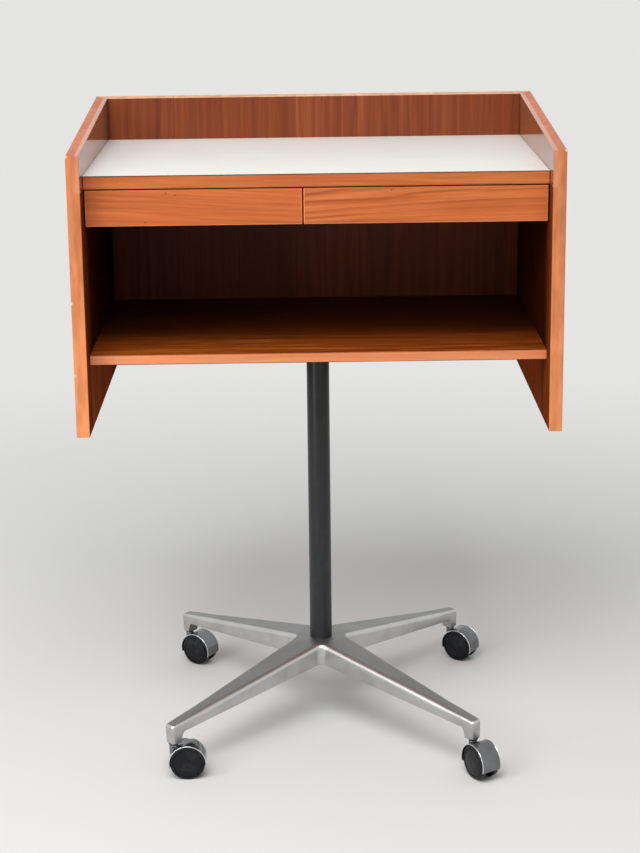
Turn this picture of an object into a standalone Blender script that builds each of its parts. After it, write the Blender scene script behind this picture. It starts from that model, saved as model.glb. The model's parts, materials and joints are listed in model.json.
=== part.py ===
"""Lectern on castors: an open teak case with two drawers, on a column and a four-leg base.

Metres, +Z up, the front towards -Y. The origin is on the floor, under the middle of the
whole object. Every piece hangs from one empty that stands on the column's axis.
"""

import math

import bmesh
import bpy
from mathutils import Matrix, Vector

# Clearance between pieces that touch, and how far a cutter runs past what it cuts
FIT = 0.0003
OVERRUN = 0.010

# Angle above which an edge counts as sharp, and how close points are welded
SHARP_ANGLE = math.radians(35)
WELD = 0.00001

# Case
CASE_WIDTH = 0.700
CASE_DEPTH = 0.448
FRONT_HEIGHT = 0.4075
TOP_RISE = 0.035
BOARD = 0.019
FRONT_RECESS = 0.035
HOUSING = 0.006
ARRIS = 0.0008

# Work surface and lower shelf, with their levels above the case's bottom edge
WORK_LEVEL = 0.3743
TOP_BOARD = 0.018
TOP_LIPPING = 0.010
LAMINATE = 0.0012
SHELF_LEVEL = 0.111
SHELF_BOARD = 0.012
SHELF_LIPPING = 0.008

# Drawers
LEFT_DRAWER_WIDTH = 0.308
DRAWER_HEIGHT = 0.0515
DRAWER_TOP_GAP = 0.0018
DRAWER_END_GAP = 0.002
DRAWER_MEETING_GAP = 0.0024
DRAWER_FRONT = 0.016
DRAWER_SIDE = 0.012
DRAWER_BACK = 0.010
DRAWER_BOTTOM = 0.004
DRAWER_BOTTOM_LIFT = 0.002
DRAWER_HEADROOM = 0.004
DRAWER_BACK_DROP = 0.006
DRAWER_REAR_ROOM = 0.026
DRAWER_SIDE_PLAY = 0.0015
DIVIDER = 0.016
DIVIDER_HEIGHT = 0.046
DIVIDER_SETBACK = 0.002
RUNNER_HEIGHT = 0.008
RUNNER_BITE = 0.006
RUNNER_SETBACK = 0.006
GROOVE_PLAY = 0.0006

# Column and its fixings
COLUMN_RADIUS = 0.0175
COLUMN_WALL = 0.002
COLUMN_EXPOSED = 0.493
COLUMN_STEPS = 32
PLATE_SIZE = 0.160
PLATE_THICKNESS = 0.005
PLATE_CORNER = 0.012
COLLAR_WALL = 0.004
COLLAR_HEIGHT = 0.022
PLATE_SCREW_INSET = 0.018
SCREW_RADIUS = 0.0025
SCREW_BITE = 0.008
SCREW_HEAD_RADIUS = 0.0048
SCREW_HEAD = 0.003
SCREW_STEPS = 12
PLUG_LENGTH = 0.026
BOLT_RADIUS = 0.005
BOLT_BITE = 0.018
BOLT_HEAD_RADIUS = 0.0098
BOLT_HEAD = 0.0064
BOLT_HEAD_SIDES = 6
WASHER_RADIUS = 0.012
WASHER_THICKNESS = 0.002

# Four-leg base
LEG_REACH = 0.3265
LEG_FALL = 0.048
ROOT_WIDTH = 0.060
TIP_WIDTH = 0.019
TIP_ROUND = 0.005
HUB_FILLET = 0.012
HUB_FLAT = 0.032
HUB_HEIGHT = 0.034
SOCKET_DEPTH = 0.024
LEG_TIP_DEPTH = 0.017
BOSS_LENGTH = 0.017
BOSS_HEIGHT = 0.0294
CASTING_EDGE = 0.0022
CASTING_EDGE_STEPS = 2
CASTING_WALL = 0.004
CASTING_ROOF = 0.006
CORE_START = 0.050
CORE_ROUND = 0.002
ARC_STEPS = 6
CORE_ARC_STEPS = 2

# Castors
WHEEL_RADIUS = 0.0264
WHEEL_STEPS = 24
WHEEL_SHOULDER = 0.0024
WHEEL_EDGE = 0.0012
WHEEL_DOME = 0.0016
WHEEL_DOME_DROP = 0.0007
AXLE_RADIUS = 0.003
AXLE_STEPS = 12
AXLE_END_WALL = 0.0035
BODY_WIDTH = 0.0134
WHEEL_PLAY = 0.0006
WHEEL_RECESS = 0.002
HOOD_GAP = 0.0008
HOOD_WALL = 0.0012
HOOD_WIDTH = 0.033
HOOD_DROP = math.radians(15)
HOOD_STEPS = 24
TRAIL = 0.0208
SWIVEL_GAP = 0.0003
STEM_RADIUS = 0.004
STEM_STEPS = 16
STEM_GRIP = 0.018
STEM_FOOT = 0.016
SHOULDER_RADIUS = 0.007
SHOULDER_STEP = 0.0025
CASTOR_BOSS_RADIUS = 0.0065
SLEEVE_WALL = 0.0024
SLEEVE_FLANGE = 0.0008
SLEEVE_FLANGE_RADIUS = 0.008
SLEEVE_DEPTH = 0.020

# Castors at rest: side, front or back, and the way each one trails about its stem
CASTORS = {
    "front_left": (-1, -1, math.radians(0.5)),
    "front_right": (1, -1, math.radians(-59.5)),
    "back_left": (-1, 1, math.radians(-33)),
    "back_right": (1, 1, math.radians(-35)),
}

# Finishes: colour, roughness and metallic value
TEAK = ((0.46, 0.17, 0.06), 0.40, 0.0)
PALE_TEAK = ((0.60, 0.27, 0.13), 0.45, 0.0)
WHITE_LAMINATE = ((0.86, 0.84, 0.77), 0.30, 0.0)
DRAWER_WOOD = ((0.50, 0.33, 0.18), 0.60, 0.0)
BLACK_ENAMEL = ((0.015, 0.015, 0.016), 0.35, 0.0)
CAST_ALUMINIUM = ((0.55, 0.56, 0.56), 0.38, 1.0)
CHROME = ((0.62, 0.63, 0.65), 0.14, 1.0)
STEEL = ((0.42, 0.42, 0.43), 0.35, 1.0)
BLACK_PLASTIC = ((0.014, 0.015, 0.017), 0.38, 0.0)
BLACK_NYLON = ((0.03, 0.03, 0.03), 0.50, 0.0)

# Levels that follow from the sizes, from the floor upwards
SQUARE_CORNER = math.sqrt(2.0)
AXLE_LEVEL = WHEEL_RADIUS * math.cos(math.pi / WHEEL_STEPS)
HOOD_RADIUS = WHEEL_RADIUS + HOOD_GAP + HOOD_WALL
HOOD_TOP = AXLE_LEVEL + HOOD_RADIUS
BOSS_BOTTOM = HOOD_TOP + SWIVEL_GAP
TIP_TOP = BOSS_BOTTOM + BOSS_HEIGHT
HUB_TOP = TIP_TOP + LEG_FALL
HUB_BOTTOM = HUB_TOP - HUB_HEIGHT
SOCKET_FLOOR = HUB_TOP - SOCKET_DEPTH
PLATE_UNDERSIDE = HUB_TOP + COLUMN_EXPOSED
SHELF_UNDERSIDE = PLATE_UNDERSIDE + PLATE_THICKNESS + FIT
CASE_BOTTOM = SHELF_UNDERSIDE - SHELF_LEVEL + SHELF_BOARD

# Planes and widths inside the case, from its middle
INNER_HALF = CASE_WIDTH / 2 - BOARD
FRONT_Y = -CASE_DEPTH / 2 + FRONT_RECESS
BACK_Y = CASE_DEPTH / 2 - BOARD
TOP_BOARD_LEVEL = WORK_LEVEL - LAMINATE - FIT
DRAWER_CEILING = TOP_BOARD_LEVEL - TOP_BOARD
DRAWER_FLOOR = DRAWER_CEILING - DRAWER_TOP_GAP - DRAWER_HEIGHT
DRAWER_LENGTH = BACK_Y - FRONT_Y - DRAWER_REAR_ROOM
LEFT_DRAWER_END = -INNER_HALF + DRAWER_END_GAP + LEFT_DRAWER_WIDTH
DIVIDER_X = LEFT_DRAWER_END + DRAWER_MEETING_GAP / 2

# Places in the base and the castors
STEM_SPREAD = (LEG_REACH - BOSS_LENGTH / 2) / SQUARE_CORNER
STEM_BOTTOM = HOOD_TOP - STEM_FOOT
CASTOR_BOSS_TOP = HOOD_TOP - SHOULDER_STEP
WHEEL_INNER = BODY_WIDTH / 2 + WHEEL_PLAY
WHEEL_OUTER = HOOD_WIDTH / 2 - WHEEL_RECESS
WHEEL_FACE = WHEEL_OUTER + WHEEL_DOME
AXLE_HALF = WHEEL_OUTER - AXLE_END_WALL + WHEEL_DOME


def clear_scene():
    """Remove whatever the scene starts with."""
    for thing in list(bpy.data.objects):
        bpy.data.objects.remove(thing, do_unlink=True)


def add_collection(name):
    """Make a collection under the scene."""
    collection = bpy.data.collections.new(name)
    bpy.context.scene.collection.children.link(collection)
    return collection


clear_scene()
PARTS = add_collection("lectern")
CUTTERS = add_collection("lectern_cutters")


def to_mesh(shape, name):
    """Turn a bmesh into a mesh with its faces pointing out."""
    bmesh.ops.recalc_face_normals(shape, faces=shape.faces[:])
    mesh = bpy.data.meshes.new(name)
    shape.to_mesh(mesh)
    shape.free()
    return mesh


def block(size):
    """A box of the given size about its own middle."""
    shape = bmesh.new()
    bmesh.ops.create_cube(shape, size=1.0, matrix=Matrix.Diagonal((*size, 1.0)))
    return to_mesh(shape, "block")


def rod(radius, length, steps):
    """A round bar of the given length along Z about its own middle."""
    shape = bmesh.new()
    bmesh.ops.create_cone(
        shape, cap_ends=True, segments=steps, radius1=radius, radius2=radius, depth=length
    )
    return to_mesh(shape, "rod")


def profile_line(points, closed, start_angle=0.0):
    """The outline of a turned piece, as (radius, height) points from top to bottom."""
    mesh = bpy.data.meshes.new("profile")
    across = Vector((math.cos(start_angle), math.sin(start_angle), 0.0))
    vertices = [across * radius + Vector((0.0, 0.0, height)) for radius, height in points]
    edges = [(index, index + 1) for index in range(len(points) - 1)]
    if closed:
        edges.append((len(points) - 1, 0))
    mesh.from_pydata(vertices, edges, [])
    return mesh


def turn(part, steps):
    """Spin an object's profile once about its Z axis."""
    screw = part.modifiers.new("turned", "SCREW")
    screw.steps = steps
    screw.render_steps = steps
    screw.use_merge_vertices = True
    screw.merge_threshold = WELD
    screw.use_smooth_shade = True


def extruded(points, thickness):
    """A flat plate of the given outline, about its own middle plane."""
    curve = bpy.data.curves.new("outline", "CURVE")
    curve.dimensions = "2D"
    curve.fill_mode = "BOTH"
    curve.extrude = thickness / 2
    spline = curve.splines.new("POLY")
    spline.points.add(len(points) - 1)
    for target, (x, y) in zip(spline.points, points):
        target.co = (x, y, 0.0, 1.0)
    spline.use_cyclic_u = True
    outline = bpy.data.objects.new("outline", curve)
    CUTTERS.objects.link(outline)
    evaluated = outline.evaluated_get(bpy.context.evaluated_depsgraph_get())
    flat = bpy.data.meshes.new_from_object(evaluated)
    bpy.data.objects.remove(outline, do_unlink=True)
    shape = bmesh.new()
    shape.from_mesh(flat)
    bmesh.ops.remove_doubles(shape, verts=shape.verts[:], dist=WELD)
    return to_mesh(shape, "extruded")


def arc(radius, first, last, steps):
    """Points along an arc about the origin, both ends included."""
    angles = [first + (last - first) * index / steps for index in range(steps + 1)]
    return [(radius * math.cos(angle), radius * math.sin(angle)) for angle in angles]


def rounded(corners, steps):
    """Round each corner of a closed outline, given as (point, radius)."""
    points = []
    for index, (corner, radius) in enumerate(corners):
        before = (corners[index - 1][0] - corner).normalized()
        after = (corners[(index + 1) % len(corners)][0] - corner).normalized()
        half_angle = before.angle(after) / 2
        middle = corner + (before + after).normalized() * (radius / math.sin(half_angle))
        first = corner + before * (radius / math.tan(half_angle)) - middle
        sweep = first.angle_signed(corner + after * (radius / math.tan(half_angle)) - middle)
        for step in range(steps + 1):
            turned = first.copy()
            turned.rotate(Matrix.Rotation(-sweep * step / steps, 2))
            points.append(tuple(middle + turned))
    return points


def sliced(mesh, point, outward):
    """Cut away what lies beyond a plane, on the side that outward points to, and cap it."""
    shape = bmesh.new()
    shape.from_mesh(mesh)
    everything = shape.verts[:] + shape.edges[:] + shape.faces[:]
    cut = bmesh.ops.bisect_plane(
        shape, geom=everything, plane_co=point, plane_no=outward, clear_outer=True
    )
    rim = [edge for edge in cut["geom_cut"] if isinstance(edge, bmesh.types.BMEdge)]
    bmesh.ops.holes_fill(shape, edges=rim)
    return to_mesh(shape, "sliced")


def add_empty(name, parent, location=(0.0, 0.0, 0.0), turn_about_z=0.0):
    """A parent for pieces that belong or move together."""
    empty = bpy.data.objects.new(name, None)
    PARTS.objects.link(empty)
    empty.parent = parent
    empty.location = location
    empty.rotation_euler = (0.0, 0.0, turn_about_z)
    return empty


def add_part(name, mesh, finish, parent, location=(0.0, 0.0, 0.0), rotation=(0.0, 0.0, 0.0)):
    """A piece of the object, with a material of its own."""
    colour, roughness, metallic = finish
    material = bpy.data.materials.new(name)
    material.use_nodes = True
    shader = material.node_tree.nodes["Principled BSDF"]
    shader.inputs["Base Color"].default_value = (*colour, 1.0)
    shader.inputs["Roughness"].default_value = roughness
    shader.inputs["Metallic"].default_value = metallic
    mesh.name = name
    mesh.materials.append(material)
    part = bpy.data.objects.new(name, mesh)
    PARTS.objects.link(part)
    part.parent = parent
    part.location = location
    part.rotation_euler = rotation
    return part


def add_turned(name, points, steps, finish, parent, closed=False, start_angle=0.0, **place):
    """A turned piece: its profile spun about its own Z axis."""
    mesh = profile_line(points, closed, start_angle)
    part = add_part(name, mesh, finish, parent, **place)
    turn(part, steps)
    return part


def add_cutter(name, mesh, parent, location=(0.0, 0.0, 0.0), rotation=(0.0, 0.0, 0.0)):
    """A shape that only cuts or joins other pieces."""
    cutter = bpy.data.objects.new(name, mesh)
    CUTTERS.objects.link(cutter)
    cutter.parent = parent
    cutter.location = location
    cutter.rotation_euler = rotation
    cutter.hide_render = True
    cutter.display_type = "WIRE"
    return cutter


def combine(part, cutter, operation="DIFFERENCE"):
    """Cut a piece by another shape, or join or intersect it with one."""
    boolean = part.modifiers.new(cutter.name, "BOOLEAN")
    boolean.operation = operation
    boolean.solver = "EXACT"
    boolean.object = cutter


def soften(part, width, segments=1):
    """Break the sharp edges of a piece."""
    bevel = part.modifiers.new("softened", "BEVEL")
    bevel.width = width
    bevel.segments = segments
    bevel.limit_method = "ANGLE"
    bevel.angle_limit = SHARP_ANGLE


def add_board(name, low, high, finish, parent):
    """A board between two corners, with its arrises broken."""
    low = Vector(low)
    high = Vector(high)
    board = add_part(name, block(high - low), finish, parent, (low + high) / 2)
    soften(board, ARRIS)
    return board


def smooth(part):
    """Shade a round piece smooth, with its real edges kept sharp."""
    part.data.shade_smooth()
    part.data.set_sharp_from_angle(angle=SHARP_ANGLE)


def case_height():
    """Height of the case at its back."""
    return FRONT_HEIGHT + TOP_RISE


def slope_cut(mesh):
    """Cut the sloping top edge on a panel that stands on Z = 0 in the case."""
    front_top = Vector((0.0, -CASE_DEPTH / 2, FRONT_HEIGHT))
    return sliced(mesh, front_top, Vector((0.0, -TOP_RISE, CASE_DEPTH)).normalized())


def standing_panel(low, high, mitres):
    """A panel in the case's own axes, mitred by planes and cut to the sloping top."""
    mesh = block(Vector(high) - Vector(low))
    mesh.transform(Matrix.Translation((Vector(low) + Vector(high)) / 2))
    for point, outward in mitres:
        mesh = sliced(mesh, Vector(point) - Vector(outward) * (FIT / 2), Vector(outward))
    return slope_cut(mesh)


def build_shell(case):
    """The two sides and the back, mitred together at the back corners."""
    half = CASE_WIDTH / 2
    rear = CASE_DEPTH / 2
    uncut_height = case_height() + OVERRUN
    sides = {}
    mitres = []
    for name, side in (("left_side_panel", -1), ("right_side_panel", 1)):
        corner = (side * half, rear, 0.0)
        outward = Vector((-side, 1.0, 0.0)).normalized()
        mitres.append((corner, -outward))
        x_range = sorted((side * half, side * INNER_HALF))
        mesh = standing_panel(
            (x_range[0], -rear, 0.0), (x_range[1], rear, uncut_height), [(corner, outward)]
        )
        sides[side] = add_part(name, mesh, TEAK, case)
        soften(sides[side], ARRIS)
    mesh = standing_panel((-half, BACK_Y, 0.0), (half, rear, uncut_height), mitres)
    soften(add_part("back_panel", mesh, TEAK, case), ARRIS)
    return sides


def house(name, board_front, level, thickness, sides, case):
    """Plough a housing for a board's ends into both sides, running out at the back."""
    rear = CASE_DEPTH / 2 + OVERRUN
    length = rear - board_front + FIT
    mesh = block((2 * (INNER_HALF + HOUSING), length, thickness + 2 * FIT))
    middle = (0.0, rear - length / 2, level - thickness / 2)
    cutter = add_cutter(name, mesh, case, middle)
    for side in sides.values():
        combine(side, cutter)


def build_top(sides, case):
    """The top board housed in the sides, its front lipping and the laminate over both."""
    lipping_back = FRONT_Y + TOP_LIPPING
    board_front = lipping_back + FIT
    tongue = INNER_HALF + HOUSING - FIT
    add_board(
        "top_board",
        (-tongue, board_front, DRAWER_CEILING),
        (tongue, BACK_Y - FIT, TOP_BOARD_LEVEL),
        DRAWER_WOOD,
        case,
    )
    house("top_housing", board_front, TOP_BOARD_LEVEL, TOP_BOARD, sides, case)
    add_board(
        "top_front_lipping",
        (-INNER_HALF + FIT, FRONT_Y, DRAWER_CEILING),
        (INNER_HALF - FIT, lipping_back, TOP_BOARD_LEVEL),
        TEAK,
        case,
    )
    low = Vector((-INNER_HALF + FIT, FRONT_Y, WORK_LEVEL - LAMINATE))
    high = Vector((INNER_HALF - FIT, BACK_Y - FIT, WORK_LEVEL))
    add_part("work_surface_laminate", block(high - low), WHITE_LAMINATE, case, (low + high) / 2)


def build_shelf(sides, case):
    """The lower shelf housed in the sides, and its pale front lipping."""
    lipping_back = FRONT_Y + SHELF_LIPPING
    board_front = lipping_back + FIT
    tongue = INNER_HALF + HOUSING - FIT
    shelf = add_board(
        "lower_shelf",
        (-tongue, board_front, SHELF_LEVEL - SHELF_BOARD),
        (tongue, BACK_Y - FIT, SHELF_LEVEL),
        TEAK,
        case,
    )
    house("shelf_housing", board_front, SHELF_LEVEL, SHELF_BOARD, sides, case)
    add_board(
        "shelf_front_lipping",
        (-INNER_HALF + FIT, FRONT_Y, SHELF_LEVEL - SHELF_BOARD),
        (INNER_HALF - FIT, lipping_back, SHELF_LEVEL),
        PALE_TEAK,
        case,
    )
    return shelf


def build_divider(case):
    """The divider that hangs under the top board, behind the gap between the drawers."""
    add_board(
        "drawer_divider",
        (
            DIVIDER_X - DIVIDER / 2,
            FRONT_Y + DRAWER_FRONT + DIVIDER_SETBACK,
            DRAWER_CEILING - FIT - DIVIDER_HEIGHT,
        ),
        (DIVIDER_X + DIVIDER / 2, BACK_Y - FIT, DRAWER_CEILING - FIT),
        DRAWER_WOOD,
        case,
    )


def build_runner(name, wall_x, into, case):
    """A runner fixed to a wall, with its free edge in the drawer's groove."""
    near = wall_x + into * FIT
    far = wall_x + into * (DRAWER_SIDE_PLAY + RUNNER_BITE)
    x_range = sorted((near, far))
    middle = DRAWER_FLOOR + DRAWER_HEIGHT / 2
    add_board(
        name,
        (x_range[0], FRONT_Y + DRAWER_FRONT + RUNNER_SETBACK, middle - RUNNER_HEIGHT / 2),
        (x_range[1], BACK_Y - FIT, middle + RUNNER_HEIGHT / 2),
        DRAWER_WOOD,
        case,
    )


def build_drawer(name, front_span, bay_span, case):
    """One drawer: a front, two grooved sides, a back between them and a bottom below."""
    middle_x = sum(front_span) / 2
    drawer = add_empty(name, case, (middle_x, FRONT_Y, DRAWER_FLOOR))
    front_half = (front_span[1] - front_span[0]) / 2
    add_board(
        f"{name}_front",
        (-front_half, 0.0, 0.0),
        (front_half, DRAWER_FRONT, DRAWER_HEIGHT),
        TEAK,
        drawer,
    )
    box_low = bay_span[0] + DRAWER_SIDE_PLAY - middle_x
    box_high = bay_span[1] - DRAWER_SIDE_PLAY - middle_x
    box_front = DRAWER_FRONT + FIT
    floor_top = DRAWER_BOTTOM_LIFT + DRAWER_BOTTOM
    side_bottom = floor_top + FIT
    side_top = DRAWER_HEIGHT - DRAWER_HEADROOM
    add_board(
        f"{name}_bottom",
        (box_low, box_front, DRAWER_BOTTOM_LIFT),
        (box_high, DRAWER_LENGTH, floor_top),
        DRAWER_WOOD,
        drawer,
    )
    add_board(
        f"{name}_back",
        (box_low + DRAWER_SIDE + FIT, DRAWER_LENGTH - DRAWER_BACK, side_bottom),
        (box_high - DRAWER_SIDE - FIT, DRAWER_LENGTH, side_top - DRAWER_BACK_DROP),
        DRAWER_WOOD,
        drawer,
    )
    groove_depth = RUNNER_BITE + GROOVE_PLAY
    groove_length = DRAWER_LENGTH - box_front + OVERRUN
    for hand, outer, inward in (("left", box_low, 1), ("right", box_high, -1)):
        x_range = sorted((outer, outer + inward * DRAWER_SIDE))
        side = add_board(
            f"{name}_{hand}_side",
            (x_range[0], box_front, side_bottom),
            (x_range[1], DRAWER_LENGTH, side_top),
            DRAWER_WOOD,
            drawer,
        )
        groove = add_cutter(
            f"{name}_{hand}_groove",
            block((2 * groove_depth, groove_length, RUNNER_HEIGHT + 2 * FIT)),
            drawer,
            (outer, DRAWER_LENGTH + OVERRUN - groove_length / 2, DRAWER_HEIGHT / 2),
        )
        combine(side, groove)


def build_drawers(case):
    """Both drawers, the divider between them and the runners that carry them."""
    build_divider(case)
    left_bay = (-INNER_HALF, DIVIDER_X - DIVIDER / 2)
    right_bay = (DIVIDER_X + DIVIDER / 2, INNER_HALF)
    left_front = (-INNER_HALF + DRAWER_END_GAP, LEFT_DRAWER_END)
    right_front = (LEFT_DRAWER_END + DRAWER_MEETING_GAP, INNER_HALF - DRAWER_END_GAP)
    for name, front_span, bay_span in (
        ("left_drawer", left_front, left_bay),
        ("right_drawer", right_front, right_bay),
    ):
        build_drawer(name, front_span, bay_span, case)
        build_runner(f"{name}_left_runner", bay_span[0], 1, case)
        build_runner(f"{name}_right_runner", bay_span[1], -1, case)


def build_plate(shelf, root):
    """The plate with its collar that screws the column under the shelf."""
    half = PLATE_SIZE / 2
    corners = [
        (Vector(corner), PLATE_CORNER)
        for corner in ((-half, -half), (half, -half), (half, half), (-half, half))
    ]
    mesh = extruded(rounded(corners, ARC_STEPS), PLATE_THICKNESS)
    level = PLATE_UNDERSIDE + PLATE_THICKNESS / 2
    plate = add_part("column_mounting_plate", mesh, BLACK_ENAMEL, root, (0.0, 0.0, level))
    collar_radius = COLUMN_RADIUS + FIT + COLLAR_WALL
    collar_length = COLLAR_HEIGHT + PLATE_THICKNESS / 2
    collar = add_cutter(
        "plate_collar",
        rod(collar_radius, collar_length, COLUMN_STEPS),
        root,
        (0.0, 0.0, level - collar_length / 2),
    )
    combine(plate, collar, "UNION")
    bore_length = COLLAR_HEIGHT + OVERRUN
    bore = add_cutter(
        "collar_bore",
        rod(COLUMN_RADIUS + FIT, bore_length, COLUMN_STEPS),
        root,
        (0.0, 0.0, PLATE_UNDERSIDE - bore_length / 2),
    )
    combine(plate, bore)
    smooth(plate)
    place = half - PLATE_SCREW_INSET
    top = SHELF_UNDERSIDE + SCREW_BITE
    bottom = PLATE_UNDERSIDE - FIT
    profile = [
        (0.0, top),
        (SCREW_RADIUS, top - SCREW_RADIUS),
        (SCREW_RADIUS, bottom),
        (SCREW_HEAD_RADIUS, bottom),
        (SCREW_HEAD_RADIUS, bottom - SCREW_HEAD / 2),
        (SCREW_HEAD_RADIUS / 2, bottom - SCREW_HEAD),
        (0.0, bottom - SCREW_HEAD),
    ]
    hole_bottom = bottom - OVERRUN
    hole_length = top + FIT - hole_bottom
    for name, x, y in (
        ("front_left", -place, -place),
        ("front_right", place, -place),
        ("back_left", -place, place),
        ("back_right", place, place),
    ):
        location = (x, y, 0.0)
        add_turned(
            f"plate_screw_{name}", profile, SCREW_STEPS, STEEL, root, location=location
        )
        hole = add_cutter(
            f"screw_hole_{name}",
            rod(SCREW_RADIUS + FIT, hole_length, SCREW_STEPS),
            root,
            (x, y, hole_bottom + hole_length / 2),
        )
        combine(plate, hole)
        combine(shelf, hole)


def build_column(root):
    """The tube, the threaded plug in its foot, and the bolt and washer below the hub."""
    inner = COLUMN_RADIUS - COLUMN_WALL
    foot = SOCKET_FLOOR + FIT
    head = PLATE_UNDERSIDE - FIT
    add_turned(
        "column_tube",
        [(COLUMN_RADIUS, head), (COLUMN_RADIUS, foot), (inner, foot), (inner, head)],
        COLUMN_STEPS,
        BLACK_ENAMEL,
        root,
        closed=True,
    )
    plug_radius = inner - FIT
    bore = BOLT_RADIUS + FIT
    add_turned(
        "column_foot_plug",
        [
            (plug_radius, foot + PLUG_LENGTH),
            (plug_radius, foot),
            (bore, foot),
            (bore, foot + PLUG_LENGTH),
        ],
        COLUMN_STEPS,
        STEEL,
        root,
        closed=True,
    )
    washer_top = HUB_BOTTOM - FIT
    washer_bottom = washer_top - WASHER_THICKNESS
    add_turned(
        "hub_washer",
        [
            (WASHER_RADIUS, washer_top),
            (WASHER_RADIUS, washer_bottom),
            (bore, washer_bottom),
            (bore, washer_top),
        ],
        COLUMN_STEPS,
        STEEL,
        root,
        closed=True,
    )
    head_top = washer_bottom - FIT
    bolt = add_part(
        "hub_bolt",
        rod(BOLT_HEAD_RADIUS, BOLT_HEAD, BOLT_HEAD_SIDES),
        STEEL,
        root,
        (0.0, 0.0, head_top - BOLT_HEAD / 2),
    )
    shank_bottom = head_top - BOLT_HEAD / 2
    shank_length = foot + BOLT_BITE - shank_bottom
    shank = add_cutter(
        "bolt_shank",
        rod(BOLT_RADIUS, shank_length, COLUMN_STEPS),
        root,
        (0.0, 0.0, shank_bottom + shank_length / 2),
    )
    combine(bolt, shank, "UNION")


def leg_half_width(distance):
    """Half the width of a leg at a distance from the column's axis."""
    return (ROOT_WIDTH + (TIP_WIDTH - ROOT_WIDTH) * distance / LEG_REACH) / 2


def star_outline():
    """The base seen from above: four tapering legs on the diagonals, filleted between."""
    tip_half = leg_half_width(LEG_REACH)
    taper = (ROOT_WIDTH / 2 - tip_half) / LEG_REACH
    crotch = (ROOT_WIDTH / 2) * SQUARE_CORNER / (1 + taper)
    corners = []
    for quarter in range(4):
        leg = Matrix.Rotation(-math.radians(45 + 90 * quarter), 2)
        gap = Matrix.Rotation(-math.radians(90 + 90 * quarter), 2)
        corners.append((Vector((LEG_REACH, -tip_half)) @ leg, TIP_ROUND))
        corners.append((Vector((LEG_REACH, tip_half)) @ leg, TIP_ROUND))
        corners.append((Vector((crotch, 0.0)) @ gap, HUB_FILLET))
    return rounded(corners, ARC_STEPS)


def leg_top(distance):
    """Height of a leg's top at a distance from the column's axis."""
    return TIP_TOP + LEG_FALL * (LEG_REACH - distance) / (LEG_REACH - HUB_FLAT)


def add_square_cutter(name, points, root):
    """A four-sided cutter with its faces across the legs, as (distance, height) points."""
    profile = [(distance * SQUARE_CORNER, height) for distance, height in points]
    cutter = add_cutter(name, profile_line(profile, False), root)
    turn(cutter, 4)
    return cutter


def core_legs(base, root):
    """Hollow each leg from below, between the hub and the boss, as a casting is."""
    core_end = LEG_REACH - BOSS_LENGTH - CASTING_WALL
    near_half = leg_half_width(CORE_START) - CASTING_WALL
    far_half = leg_half_width(core_end) - CASTING_WALL
    corners = [
        (Vector(corner), CORE_ROUND)
        for corner in (
            (CORE_START, -near_half),
            (core_end, -far_half),
            (core_end, far_half),
            (CORE_START, near_half),
        )
    ]
    mesh = extruded(rounded(corners, CORE_ARC_STEPS), HUB_TOP - BOSS_BOTTOM)
    beyond = LEG_REACH + OVERRUN
    below = BOSS_BOTTOM - OVERRUN
    roof = [
        (0.0, leg_top(0.0) - CASTING_ROOF),
        (beyond, leg_top(beyond) - CASTING_ROOF),
        (beyond, below),
        (0.0, below),
    ]
    core_roof = add_square_cutter("core_roof", roof, root)
    middle = (0.0, 0.0, (HUB_TOP + BOSS_BOTTOM) / 2)
    for name, (side, end, _) in CASTORS.items():
        heading = math.atan2(end, side)
        core = add_cutter(f"leg_core_{name}", mesh, root, middle, (0.0, 0.0, heading))
        combine(core, core_roof, "INTERSECT")
        combine(base, core)


def build_base(root):
    """The cast base: a star cut to sloping tops and undersides, bored for its fittings."""
    top = HUB_TOP + OVERRUN
    mesh = extruded(star_outline(), top - BOSS_BOTTOM)
    base = add_part(
        "star_base", mesh, CAST_ALUMINIUM, root, (0.0, 0.0, (top + BOSS_BOTTOM) / 2)
    )
    below = BOSS_BOTTOM - OVERRUN
    beyond = LEG_REACH + OVERRUN
    roof = [
        (0.0, HUB_TOP),
        (HUB_FLAT, HUB_TOP),
        (beyond, leg_top(beyond)),
        (beyond, below),
        (0.0, below),
    ]
    combine(base, add_square_cutter("base_roof", roof, root), "INTERSECT")
    boss_start = LEG_REACH - BOSS_LENGTH
    underside = [
        (0.0, HUB_BOTTOM),
        (HUB_FLAT, HUB_BOTTOM),
        (boss_start, leg_top(boss_start) - LEG_TIP_DEPTH),
        (boss_start, below),
        (0.0, below),
    ]
    combine(base, add_square_cutter("base_underside", underside, root))
    soften(base, CASTING_EDGE, CASTING_EDGE_STEPS)
    socket_length = SOCKET_DEPTH + OVERRUN
    socket = add_cutter(
        "column_socket",
        rod(COLUMN_RADIUS + FIT, socket_length, COLUMN_STEPS),
        root,
        (0.0, 0.0, SOCKET_FLOOR + socket_length / 2),
    )
    combine(base, socket)
    core_legs(base, root)
    bolt_hole = add_cutter(
        "bolt_hole",
        rod(BOLT_RADIUS + FIT, HUB_HEIGHT + 2 * OVERRUN, COLUMN_STEPS),
        root,
        (0.0, 0.0, HUB_BOTTOM + HUB_HEIGHT / 2),
        (0.0, 0.0, math.pi / COLUMN_STEPS),
    )
    combine(base, bolt_hole)
    return base


def sleeve_radius():
    """Outer radius of the sleeve that a castor's stem turns in."""
    return STEM_RADIUS + FIT + SLEEVE_WALL


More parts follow.
